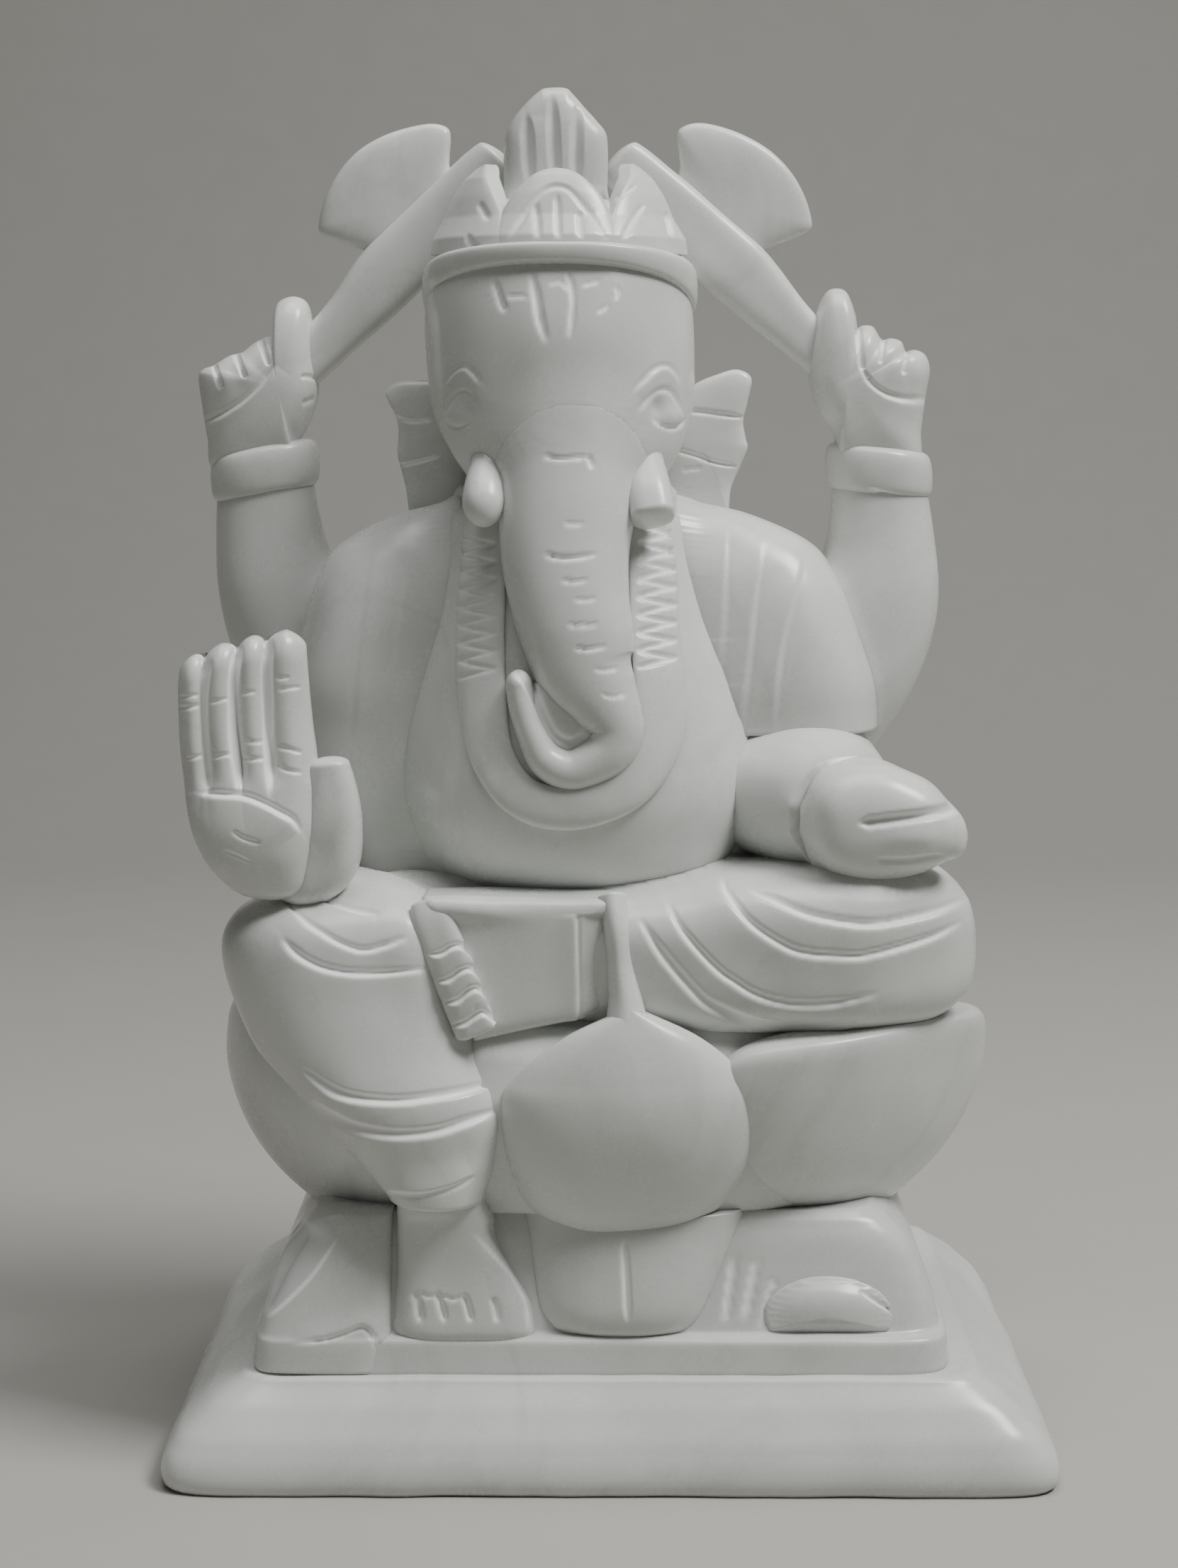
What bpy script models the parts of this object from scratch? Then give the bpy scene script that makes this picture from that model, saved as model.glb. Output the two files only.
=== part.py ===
"""Seated four-armed elephant-headed idol on a lotus, carved in white marble.

Metres, +Z up, origin at the centre of the underside, the figure facing -Y.
Left and right are the viewer's, looking along +Y.  Every piece is a carved form of
the block: it is shaped whole, then trimmed against the forms it grows out of, with a
hairline gap, so that each stays one closed solid in its own place.
"""

import math

import bmesh
import bpy
import numpy as np
from mathutils import Vector

# Fit between neighbouring forms
SEAM_GAP = 0.0003
# points of a trimmed mesh nearer than this become one
WELD = 0.000002

# The figure leans: its axis moves this far in X for each metre of height
AXIS_LEAN = -0.05
AXIS_FOOT_Z = 0.030

# Base slab
BASE_WIDTH = 0.150
BASE_DEPTH = 0.103
BASE_HEIGHT = 0.0176
BASE_TOP_WIDTH = 0.124
BASE_TOP_DEPTH = 0.086
BASE_SQUARENESS = 18.0
# share of the height, share of the way from the foot outline to the top outline
BASE_PROFILE = ((0.0, 0.10), (0.06, 0.02), (0.18, 0.0), (0.42, 0.14), (0.74, 0.56), (1.0, 1.0))

# Plinth on the slab, with a ledge along its foot
PLINTH_HEIGHT = 0.0254
PLINTH_TOP_WIDTH = 0.098
PLINTH_TOP_DEPTH = 0.066
PLINTH_SQUARENESS = 14.0
PLINTH_MARGIN = 0.0012
PLINTH_SIDE_MARGIN = 0.0030
LEDGE_HEIGHT = 0.0059
LEDGE_SETBACK = 0.0035
LEDGE_SIDE_SETBACK = 0.0012
LEDGE_SLOPE = 0.0008

# Lotus seat
CUP_HEIGHT = 0.034
CUP_FOOT_WIDTH = 0.092
CUP_FOOT_DEPTH = 0.060
CUP_WIDTH = 0.124
CUP_DEPTH = 0.082
CUP_CROWN_WIDTH = 0.104
CUP_CROWN_DEPTH = 0.062
CUP_RIM_SHARE = 0.60
CUP_SQUARENESS = 2.4
# share of the height, share of the way from the crown's outline to the cup's
CUP_SHOULDER = ((0.80, 0.76), (0.94, 0.46))
PETAL_THICKNESS = 0.0055
PETAL_DROP = 0.0050
REAR_PETAL_FLARE = 0.0030
SIDE_PETAL_FLARE = 0.0008
FRONT_PETAL_FLARE = -0.0015
# how far a petal is set into the cup before it is trimmed
PETAL_ROOT = 0.0035
SIDE_PETAL_HEIGHT = 0.033
REAR_PETAL_HEIGHT = 0.028
FRONT_PETAL_HEIGHT = 0.0365
# direction round the seat from the front, in degrees, and half of the petal's spread
FRONT_PETAL_SPREAD = 19.8
SIDE_PETAL_ANGLE = 63.0
SIDE_PETAL_SPREAD = 42.0
REAR_PETAL_ANGLE = 128.0
REAR_PETAL_SPREAD = 27.0
BACK_PETAL_SPREAD = 27.0
FRONT_PETAL_TURN = 4.6
# how far the tip of a side petal leans round the seat, in degrees
SIDE_PETAL_LEAN = -8.0
# share of the height, share of the spread
FRONT_PETAL_OUTLINE = (
    (0.0, 0.20), (0.05, 0.52), (0.165, 0.875), (0.44, 1.0),
    (0.63, 0.99), (0.80, 0.73), (0.92, 0.38), (1.0, 0.05),
)
SIDE_PETAL_OUTLINE = (
    (0.0, 0.30), (0.06, 0.55), (0.16, 0.76), (0.32, 0.93),
    (0.50, 1.0), (0.70, 1.0), (0.86, 0.90), (1.0, 0.40),
)

# Lower petals on the plinth's front, and the foot that stands beside them
LOWER_PETAL_DEPTH = 0.018
LOWER_PETAL_STAND = 0.0018
LOWER_PETAL_FRONT_WIDTH = 0.029
LOWER_PETAL_FRONT_X = 0.004
LOWER_PETAL_RIGHT_WIDTH = 0.031
LOWER_PETAL_RIGHT_X = 0.041
LOWER_PETAL_RIGHT_HEIGHT = 0.0105
LOWER_PETAL_LEFT_WIDTH = 0.023
LOWER_PETAL_LEFT_X = -0.0485
FOOT_WIDTH = 0.0245
FOOT_LENGTH = 0.0188
FOOT_STAND = 0.0019
FOOT_X = -0.0242

# Torso, belly and shoulder drapes; heights are above the seat
TORSO_HEIGHT = 0.086
TORSO_HALF_WIDTH = 0.0425
TORSO_HALF_DEPTH = 0.027
TORSO_Y = 0.009
TORSO_SQUARENESS = 3.0
# share of the height, share of the half width, share of the half depth
TORSO_PROFILE = (
    (-0.058, 0.85, 0.89), (0.15, 0.965, 1.0), (0.337, 1.0, 1.0), (0.523, 0.906, 0.98),
    (0.721, 0.816, 0.87), (0.884, 0.64, 0.667), (0.965, 0.44, 0.537), (1.0, 0.336, 0.463)
)
BELLY_HALF_WIDTH = 0.029
BELLY_HALF_DEPTH = 0.0236
BELLY_RISE = 0.034
BELLY_Y = -0.0085
BELLY_SHIFT = 0.0012
BELLY_LEAN = 0.15
BELLY_SQUARENESS = 2.1
# rise and half width in shares of the half width, share of the half depth
BELLY_PROFILE = (
    (-0.57, 0.16, 0.16), (-0.545, 0.345, 0.38), (-0.466, 0.607, 0.593), (-0.276, 0.876, 0.856),
    (0.0, 1.0, 1.0), (0.31, 0.979, 1.017), (0.69, 0.876, 1.0), (1.034, 0.745, 0.949), (1.345, 0.641, 0.873),
    (1.586, 0.572, 0.763)
)
DRAPE_HEM_RISE = 0.0444
DRAPE_HEIGHT = 0.0371
DRAPE_OFFSET = 0.0363
DRAPE_HALF_WIDTH = 0.0154
DRAPE_HALF_DEPTH = 0.0178
DRAPE_Y = 0.0035
# share of the height, shares of the offset, the half width and the half depth
DRAPE_PROFILE = (
    (0.0, 1.0, 1.0, 1.0), (0.218, 0.975, 1.026, 1.04), (0.488, 0.906, 1.006, 0.978),
    (0.704, 0.835, 0.987, 0.871), (0.865, 0.725, 0.968, 0.708), (1.0, 0.523, 0.747, 0.50)
)

# Legs; the left knee is raised with its shin down, the right leg lies folded
LEG_RISE = 0.009
THIGH_HALF_HEIGHT = 0.0118
THIGH_HALF_DEPTH = 0.0165
KNEE_LEFT_X = -0.046
KNEE_LEFT_Y = -0.0225
KNEE_HALF_WIDTH = 0.0205
KNEE_HALF_DEPTH = 0.0185
ANKLE_X = -0.0292
ANKLE_Y = -0.0345
ANKLE_HALF_WIDTH = 0.0070
ANKLE_HALF_DEPTH = 0.0092
ANKLE_RISE = 0.0205
RIGHT_KNEE_X = 0.0623
RIGHT_LEG_RISE = 0.0102
RIGHT_LEG_HALF_DEPTH = 0.0215
RIGHT_LEG_HALF_HEIGHT = 0.0143
RIGHT_LEG_Y = -0.0180
RIGHT_LEG_SQUARENESS = 3.0
# share of the way from the axis to the knee, shares of the half depth and the half height
RIGHT_LEG_PROFILE = (
    (1.0, 0.12, 0.10), (0.992, 0.32, 0.34), (0.96, 0.57, 0.63), (0.856, 0.81, 0.90),
    (0.637, 1.0, 1.0), (0.379, 1.0, 0.98), (0.149, 0.95, 0.88), (-0.064, 0.89, 0.78)
)

# Cloth in the lap
APRON_LEFT_X = -0.032
APRON_RIGHT_X = -0.0050
APRON_TOP_RISE = 0.0195
APRON_HEIGHT = 0.0210
APRON_DEPTH = 0.015
APRON_FRONT_Y = -0.0391
SASH_HALF_WIDTH = 0.0040
SASH_DEPTH = 0.0032
PLEAT_HALF_WIDTH = 0.0030
PLEAT_HALF_DEPTH = 0.0060

# Front arms: the left hand is raised, the right hand rests forward
LEFT_FOREARM_RADIUS = 0.0070
RIGHT_FOREARM_RADIUS = 0.0108
ELBOW_OFFSET = 0.0385
ELBOW_Y = 0.005
LEFT_ELBOW_RISE = 0.032
RIGHT_ELBOW_RISE = 0.036
PALM_X = -0.0596
PALM_Y = -0.0315
PALM_HALF_WIDTH = 0.0116
PALM_HALF_DEPTH = 0.0062
PALM_HEIGHT = 0.0205
PALM_SINK = 0.0010
FINGER_RADIUS = 0.0032
FINGER_PITCH = 0.0052
# heights of the finger tips above the wrist, from the outer finger to the inner
FINGER_TIPS = (0.0393, 0.0416, 0.0430, 0.0434)
THUMB_RADIUS = 0.0050
RIGHT_HAND_X = 0.0450
RIGHT_HAND_Y = -0.0330
RIGHT_HAND_RISE = 0.0330
RIGHT_HAND_HALF_LENGTH = 0.0138
RIGHT_HAND_HALF_HEIGHT = 0.0090
RIGHT_HAND_HALF_DEPTH = 0.0092

# Rear arms with bracelets, fists and axes; offsets are from the leaning axis
REAR_ARM_Y = 0.012
REAR_ARM_OFFSET = 0.0548
REAR_ARM_RISE = 0.0860
REAR_ARM_LENGTH = 0.056
REAR_ARM_HALF_WIDTH = 0.0116
# share of the length above the wrist, inward run and half width in shares of the half width
REAR_ARM_PROFILE = (
    (-1.0, -1.466, 0.30), (-0.93, -1.293, 0.62), (-0.80, -0.991, 0.86), (-0.64, -0.603, 1.0),
    (-0.48, -0.302, 1.02), (-0.32, -0.121, 0.97), (-0.14, -0.017, 0.82), (0.027, 0.0, 0.716)
)
BRACELET_HALF_WIDTH = 0.0093
BRACELET_HEIGHT = 0.0088
FIST_HEIGHT = 0.0130
FIST_HALF_WIDTH = 0.0100
FIST_HALF_DEPTH = 0.0078
KNUCKLE_RADIUS = 0.0029
INDEX_RADIUS = 0.0036
INDEX_HEIGHT = 0.0234
AXE_GRIP_RISE = 0.0144
AXE_HANDLE_FOOT_OFFSET = 0.0465
AXE_HANDLE_TOP_OFFSET = 0.0098
AXE_HANDLE_TOP_RISE = 0.0327
AXE_HANDLE_HALF_WIDTH = 0.0052
AXE_HANDLE_BOW = 0.0018
AXE_HANDLE_HALF_DEPTH = 0.0038
AXE_BLADE_THICKNESS = 0.0050
AXE_BLADE_REACH = 0.0190

# Head, trunk, tusks and ears; the head's middle is above the neck
HEAD_RISE = 0.021
HEAD_HALF_WIDTH = 0.0230
HEAD_HALF_DEPTH = 0.0230
HEAD_Y = -0.0020
HEAD_SHIFT = 0.0008
# rise, half width and setback in shares of the half width, share of the half depth
HEAD_PROFILE = (
    (-1.109, 0.45, 0.45, -0.174), (-0.913, 0.66, 0.62, -0.196), (-0.652, 0.84, 0.80, -0.174),
    (-0.348, 0.97, 0.94, -0.087), (0.130, 1.0, 1.0, 0.0), (0.522, 0.96, 0.96, 0.043),
    (0.783, 0.84, 0.84, 0.087), (0.978, 0.56, 0.56, 0.087),
)
TRUNK_HALF_WIDTH = 0.0112
TRUNK_LENGTH = 0.051
TRUNK_CURL = 0.0137
TRUNK_TIP_RADIUS = 0.0026
TUSK_RADIUS = 0.0036
TUSK_OFFSET = 0.0140
LEFT_TUSK_LENGTH = 0.0135
RIGHT_TUSK_LENGTH = 0.0105
EAR_Y = 0.007
EAR_THICKNESS = 0.0060
EAR_REACH = 0.0325
EAR_HALF_HEIGHT = 0.0145
GARLAND_HALF_WIDTH = 0.0038
GARLAND_HALF_DEPTH = 0.0024
GARLAND_REACH = 0.0153
GARLAND_TOP_DROP = 0.023
# gap of height between the trunk's curl and the middle of the garland's loop
GARLAND_CLEARANCE = 0.0053

# Crown: a band that is lower and taller at the sides than at the front, and a cone of teeth on it
BAND_LOW_RISE = 0.0092
BAND_HIGH_RISE = 0.0170
BAND_LOW_TILT = 0.32
BAND_HIGH_TILT = 0.14
# share of the tilts that holds behind the head
BAND_BACK_SHARE = 0.35
BAND_HALF_WIDTH = 0.0234
BAND_SQUARENESS = 2.2
# share of the height, share of the half width
BAND_PROFILE = ((0.0, 0.985), (0.22, 1.0), (0.75, 1.0), (1.0, 0.95))
CROWN_SHIFT = 0.0002
CROWN_Y = -0.0010
CAP_HEIGHT = 0.0132
# share of the cap's height above the band's sides, share of the band's half width
CROWN_WALL = (
    (0.03, 0.953), (0.303, 0.897), (0.568, 0.799),
    (0.833, 0.735), (1.06, 0.667), (1.242, 0.573),
)
FRONT_TOOTH_HEIGHT = 0.0105
SIDE_TOOTH_HEIGHT = 0.0146
TOOTH_HALF_WIDTH = 0.0098
TOOTH_THICKNESS = 0.0046
SIDE_TOOTH_ANGLE = 54.0
PEAK_HALF_WIDTH = 0.0084
PEAK_HEIGHT = 0.0166
PEAK_DEPTH = 0.0120

MARBLE_COLOUR = (0.78, 0.79, 0.76, 1.0)
MARBLE_ROUGHNESS = 0.32

# Levels that the sizes above add up to
BASE_TOP = BASE_HEIGHT
LEDGE_TOP = BASE_TOP + LEDGE_HEIGHT
PLINTH_TOP = BASE_TOP + PLINTH_HEIGHT
SEAT_TOP = PLINTH_TOP + CUP_HEIGHT
BELLY_Z = SEAT_TOP + BELLY_RISE
NECK_Z = SEAT_TOP + TORSO_HEIGHT
HEAD_Z = NECK_Z + HEAD_RISE
BAND_LOW_Z = HEAD_Z + BAND_LOW_RISE
BAND_HIGH_Z = HEAD_Z + BAND_HIGH_RISE
WRIST_Z = SEAT_TOP + REAR_ARM_RISE
FIST_FOOT_Z = WRIST_Z + BRACELET_HEIGHT
LEG_Z = SEAT_TOP + LEG_RISE
PALM_FOOT_Z = LEG_Z + THIGH_HALF_HEIGHT - PALM_SINK

PIECES = []
CUTTERS = {}


def axis_x(z):
    """X of the figure's leaning axis at a height."""
    return AXIS_LEAN * (z - AXIS_FOOT_Z)


SEAT_X = axis_x(PLINTH_TOP + CUP_HEIGHT / 2)


def clear_scene():
    for obj in list(bpy.data.objects):
        bpy.data.objects.remove(obj, do_unlink=True)


def marble():
    material = bpy.data.materials.new("white_marble")
    material.use_nodes = True
    shader = material.node_tree.nodes["Principled BSDF"]
    shader.inputs["Base Color"].default_value = MARBLE_COLOUR
    shader.inputs["Roughness"].default_value = MARBLE_ROUGHNESS
    shader.inputs["Metallic"].default_value = 0.0
    material.diffuse_color = MARBLE_COLOUR
    return material


# Curves and outlines


def smooth(rows, count):
    """Rows of a Catmull-Rom curve through the given rows, first and last included."""
    keys = np.asarray(rows, float)
    padded = np.vstack([2 * keys[0] - keys[1], keys, 2 * keys[-1] - keys[-2]])
    at = np.linspace(0, len(keys) - 1, count)
    span = np.minimum(at.astype(int), len(keys) - 2)
    t = (at - span)[:, None]
    a, b, c, d = (padded[span + k] for k in range(4))
    return 0.5 * (2 * b + (c - a) * t + (2 * a - 5 * b + 4 * c - d) * t**2 + (3 * b - a - 3 * c + d) * t**3)


def superellipse(half_u, half_v, squareness, sides):
    """Points of |u/half_u|^n + |v/half_v|^n = 1, counter-clockwise, closer at the corners."""
    points = []
    for k in range(sides):
        angle = 2 * math.pi * (k + 0.5) / sides
        c, s = math.cos(angle), math.sin(angle)
        u = math.copysign(abs(c) ** (2 / squareness), c)
        v = math.copysign(abs(s) ** (2 / squareness), s)
        points.append((half_u * u, half_v * v))
    return points


def arc_through(first, middle, last, count):
    """Points of the circle arc through three points of a plane."""
    (ax, ay), (bx, by), (cx, cy) = first, middle, last
    d = 2 * (ax * (by - cy) + bx * (cy - ay) + cx * (ay - by))
    ux = ((ax**2 + ay**2) * (by - cy) + (bx**2 + by**2) * (cy - ay) + (cx**2 + cy**2) * (ay - by)) / d
    uy = ((ax**2 + ay**2) * (cx - bx) + (bx**2 + by**2) * (ax - cx) + (cx**2 + cy**2) * (bx - ax)) / d
    radius = math.hypot(ax - ux, ay - uy)
    start, mid, end = (math.atan2(y - uy, x - ux) for x, y in (first, middle, last))
    turn = (end - start) % (2 * math.pi)
    if (mid - start) % (2 * math.pi) > turn:
        turn -= 2 * math.pi
    angles = [start + turn * k / (count - 1) for k in range(count)]
    return [(ux + radius * math.cos(a), uy + radius * math.sin(a)) for a in angles]


# Solids


def add_piece(name, bm):
    """The finished mesh as a named object of triangles, its faces pointing out."""
    bmesh.ops.recalc_face_normals(bm, faces=bm.faces)
    bmesh.ops.triangulate(bm, faces=bm.faces)
    mesh = bpy.data.meshes.new(name)
    bm.to_mesh(mesh)
    bm.free()
    obj = bpy.data.objects.new(name, mesh)
    bpy.context.scene.collection.objects.link(obj)
    PIECES.append(obj)
    CUTTERS[name] = [grown(obj)]
    return obj


def skin(name, rings):
    """A closed solid: consecutive rings joined by quads, the two ends capped."""
    bm = bmesh.new()
    loops = [[bm.verts.new(p) for p in ring] for ring in rings]
    sides = len(loops[0])
    for lower, upper in zip(loops, loops[1:]):
        for k in range(sides):
            bm.faces.new((lower[k], lower[(k + 1) % sides], upper[(k + 1) % sides], upper[k]))
    bm.faces.new(loops[0][::-1])
    bm.faces.new(loops[-1])
    return add_piece(name, bm)


def loft(name, stations, plane="XY", steps=9, sides=14, squareness=2.2, tilt=0.0):
    """Superellipse sections in one plane, along stations (x, y, z, half_u, half_v).

    tilt drops a horizontal section by this much for each metre towards the back.
    """
    rings = []
    for x, y, z, half_u, half_v in smooth(stations, steps):
        ring = superellipse(half_u, half_v, squareness, sides)
        if plane == "XY":
            rings.append([(x + u, y + v, z - tilt * v) for u, v in ring])
        elif plane == "YZ":
            rings.append([(x, y + u, z + v) for u, v in ring])
        else:
            rings.append([(x + u, y, z + v) for u, v in ring])
    return skin(name, rings)


def sweep(name, stations, steps=10, sides=12, squareness=2.0, face=Vector((0, -1, 0))):
    """Sections square to a curved path of stations (x, y, z, half_side, half_front)."""
    rows = smooth(stations, steps)
    centres = [Vector(row[:3]) for row in rows]
    rings = []
    for k, row in enumerate(rows):
        tangent = (centres[min(k + 1, steps - 1)] - centres[max(k - 1, 0)]).normalized()
        side = tangent.cross(face).normalized()
        front = side.cross(tangent)
        ring = superellipse(row[3], row[4], squareness, sides)
        rings.append([centres[k] + side * u + front * v for u, v in ring])
    return skin(name, rings)


def plate(name, outline, middle_y, thickness, bevel):
    """An outline in X and Z made solid along Y, with rounded edges."""
    bm = bmesh.new()
    face = bm.faces.new([bm.verts.new((x, middle_y - thickness / 2, z)) for x, z in outline])
    back = bmesh.ops.extrude_face_region(bm, geom=[face])["geom"]
    moved = [v for v in back if isinstance(v, bmesh.types.BMVert)]
    bmesh.ops.translate(bm, verts=moved, vec=(0, thickness, 0))
    bmesh.ops.recalc_face_normals(bm, faces=bm.faces)
    sharp = [edge for edge in bm.edges if edge.calc_face_angle(0) > math.radians(60)]
    bmesh.ops.bevel(bm, geom=sharp, offset=bevel, segments=2, profile=0.5, affect="EDGES")
    return add_piece(name, bm)


def settle(obj):
    """Applies an object's modifiers, and leaves its mesh as clean triangles."""
    graph = bpy.context.evaluated_depsgraph_get()
    graph.update()
    bm = bmesh.new()
    bm.from_object(obj, graph)
    bmesh.ops.remove_doubles(bm, verts=bm.verts, dist=WELD)
    bmesh.ops.dissolve_degenerate(bm, edges=bm.edges, dist=WELD)
    bmesh.ops.triangulate(bm, faces=bm.faces)
    obj.modifiers.clear()
    bm.to_mesh(obj.data)
    bm.free()


def combine(obj, other, operation):
    """One Boolean of two solids, applied to the first."""
    step = obj.modifiers.new(operation.lower() + " " + other.name, "BOOLEAN")
    step.operation = operation
    step.object = other
    settle(obj)


def fuse(obj, *others):
    """Joins other solids to an object, and drops them as pieces of their own."""
    for other in others:
        combine(obj, other, "UNION")
        CUTTERS[obj.name] += CUTTERS.pop(other.name)
        PIECES.remove(other)
        bpy.data.objects.remove(other, do_unlink=True)
    return obj


# Trimming


def grown(obj):
    """A copy of the form, larger all round by the seam gap, kept as a cutter."""
    bm = bmesh.new()
    bm.from_mesh(obj.data)
    bm.normal_update()
    shifts = [v.normal * (SEAM_GAP * v.calc_shell_factor()) for v in bm.verts]
    for vert, shift in zip(bm.verts, shifts):
        vert.co += shift
    mesh = bpy.data.meshes.new("cutter_" + obj.name)
    bm.to_mesh(mesh)
    bm.free()
    cutter = bpy.data.objects.new("cutter_" + obj.name, mesh)
    bpy.context.scene.collection.objects.link(cutter)
    cutter.hide_render = True
    cutter.display_type = "WIRE"
    return cutter


def boxes_meet(a, b):
    low_a, high_a = np.array(a.bound_box).min(0), np.array(a.bound_box).max(0)
    low_b, high_b = np.array(b.bound_box).min(0), np.array(b.bound_box).max(0)
    return bool((low_a < high_b + SEAM_GAP).all() and (low_b < high_a + SEAM_GAP).all())


def drop_chips(obj):
    """Keeps the largest connected body, without the chips that a trim leaves loose."""
    bm = bmesh.new()
    bm.from_mesh(obj.data)
    unseen, bodies = set(bm.verts), []
    while unseen:
        stack, body = [unseen.pop()], []
        while stack:
            vert = stack.pop()
            body.append(vert)
            linked = [edge.other_vert(vert) for edge in vert.link_edges]
            stack += [v for v in linked if v in unseen]
            unseen.difference_update(linked)
        bodies.append(body)
    bodies.sort(key=len)
    bmesh.ops.delete(bm, geom=[v for body in bodies[:-1] for v in body], context="VERTS")
    bm.to_mesh(obj.data)
    bm.free()


def trim_pieces():
    """Trims each form by those made before it, which keep their shape."""
    for index, obj in enumerate(PIECES):
        for earlier in PIECES[:index]:
            for cutter in CUTTERS[earlier.name]:
                if boxes_meet(obj, cutter):
                    combine(obj, cutter, "DIFFERENCE")
        drop_chips(obj)


def finish_pieces():
    material = marble()
    for obj in PIECES:
        obj.data.materials.clear()
        obj.data.materials.append(material)
        obj.data.shade_smooth()
        obj.data.set_sharp_from_angle(angle=math.radians(40))


# Base and lotus


def make_base():
    stations = []
    for height, share in BASE_PROFILE:
        half_width = BASE_WIDTH / 2 + share * (BASE_TOP_WIDTH - BASE_WIDTH) / 2
        half_depth = BASE_DEPTH / 2 + share * (BASE_TOP_DEPTH - BASE_DEPTH) / 2
        stations.append((0, 0, height * BASE_HEIGHT, half_width, half_depth))
    rings = []
    for x, y, z, half_u, half_v in stations:
        ring = superellipse(half_u, half_v, BASE_SQUARENESS, 28)
        rings.append([(x + u, y + v, z) for u, v in ring])
    skin("base_slab", rings)


def make_plinth():
    foot_width = BASE_TOP_WIDTH / 2 - PLINTH_SIDE_MARGIN
    foot_depth = BASE_TOP_DEPTH / 2 - PLINTH_MARGIN
    levels = (
        (BASE_TOP + SEAM_GAP, foot_width, foot_depth),
        (LEDGE_TOP, foot_width - LEDGE_SLOPE, foot_depth - LEDGE_SLOPE),
        (LEDGE_TOP, foot_width - LEDGE_SIDE_SETBACK, foot_depth - LEDGE_SETBACK),
        (PLINTH_TOP, PLINTH_TOP_WIDTH / 2, PLINTH_TOP_DEPTH / 2),
    )
    rings = []
    for z, half_u, half_v in levels:
        ring = superellipse(half_u, half_v, PLINTH_SQUARENESS, 24)
        rings.append([(SEAT_X + u, v, z) for u, v in ring])
    skin("plinth", rings)


def cup_half(z):
    """Half width and half depth of the lotus cup's wall at a height."""
    share = min(max((z - PLINTH_TOP) / CUP_HEIGHT, -0.2), 1.0)
    swell = math.sin(math.pi / 2 * min(1.0, (share + 0.2) / 0.85)) ** 0.75
    half_width = (CUP_FOOT_WIDTH + (CUP_WIDTH - CUP_FOOT_WIDTH) * swell) / 2
    half_depth = (CUP_FOOT_DEPTH + (CUP_DEPTH - CUP_FOOT_DEPTH) * swell) / 2
    return half_width, half_depth


def make_cup():
    rim = PLINTH_TOP + CUP_RIM_SHARE * CUP_HEIGHT
    levels = []
    for k in range(5):
        z = PLINTH_TOP + SEAM_GAP + (rim - PLINTH_TOP) * k / 4
        levels.append((z, *cup_half(z)))
    for rise, share in CUP_SHOULDER:
        half_width = (CUP_CROWN_WIDTH + share * (CUP_WIDTH - CUP_CROWN_WIDTH)) / 2
        half_depth = (CUP_CROWN_DEPTH + share * (CUP_DEPTH - CUP_CROWN_DEPTH)) / 2
        levels.append((PLINTH_TOP + rise * CUP_HEIGHT, half_width, half_depth))
    levels.append((SEAT_TOP, CUP_CROWN_WIDTH / 2, CUP_CROWN_DEPTH / 2))
    rings = []
    for z, half_u, half_v in levels:
        ring = superellipse(half_u, half_v, CUP_SQUARENESS, 24)
        rings.append([(SEAT_X + u, v, z) for u, v in ring])
    skin("lotus_cup", rings)


def make_petal(name, outline, angle, spread, height, flare, lean=0.0, steps=7, across=6):
    """A pointed petal standing against the cup, thicker in the middle than at its edges."""
    foot = PLINTH_TOP - PETAL_DROP
    rings = []
    for t, width in smooth(outline, steps):
        z = foot + (height + PETAL_DROP) * t
        half_width, half_depth = cup_half(z)
        outer, inner = [], []
        for j in range(across):
            s = 2 * j / (across - 1) - 1
            turn = math.radians(angle + lean * t**4 + spread * width * s)
            bulge = PETAL_THICKNESS * (0.45 + 0.55 * (1 - s * s)) + flare * t**3
            for reach, side in ((bulge, outer), (-PETAL_ROOT, inner)):
                x = SEAT_X + (half_width + reach) * math.sin(turn)
                y = -(half_depth + reach) * math.cos(turn)
                side.append((x, y, z))
        rings.append(outer + inner[::-1])
    return skin(name, rings)


def make_petals():
    size = (FRONT_PETAL_SPREAD, FRONT_PETAL_HEIGHT, FRONT_PETAL_FLARE)
    make_petal("lotus_petal_front", FRONT_PETAL_OUTLINE, FRONT_PETAL_TURN, *size)
    size = (SIDE_PETAL_SPREAD, SIDE_PETAL_HEIGHT, SIDE_PETAL_FLARE)
    for name, sign in (("right", 1), ("left", -1)):
        angle, lean = sign * SIDE_PETAL_ANGLE, sign * SIDE_PETAL_LEAN
        make_petal("lotus_petal_" + name, SIDE_PETAL_OUTLINE, angle, *size, lean)
    size = (REAR_PETAL_SPREAD, REAR_PETAL_HEIGHT, REAR_PETAL_FLARE)
    for name, sign in (("rear_right", 1), ("rear_left", -1)):
        make_petal("lotus_petal_" + name, SIDE_PETAL_OUTLINE, sign * REAR_PETAL_ANGLE, *size)
    size = (BACK_PETAL_SPREAD, REAR_PETAL_HEIGHT, REAR_PETAL_FLARE)
    make_petal("lotus_petal_back", SIDE_PETAL_OUTLINE, 180.0, *size)


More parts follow.
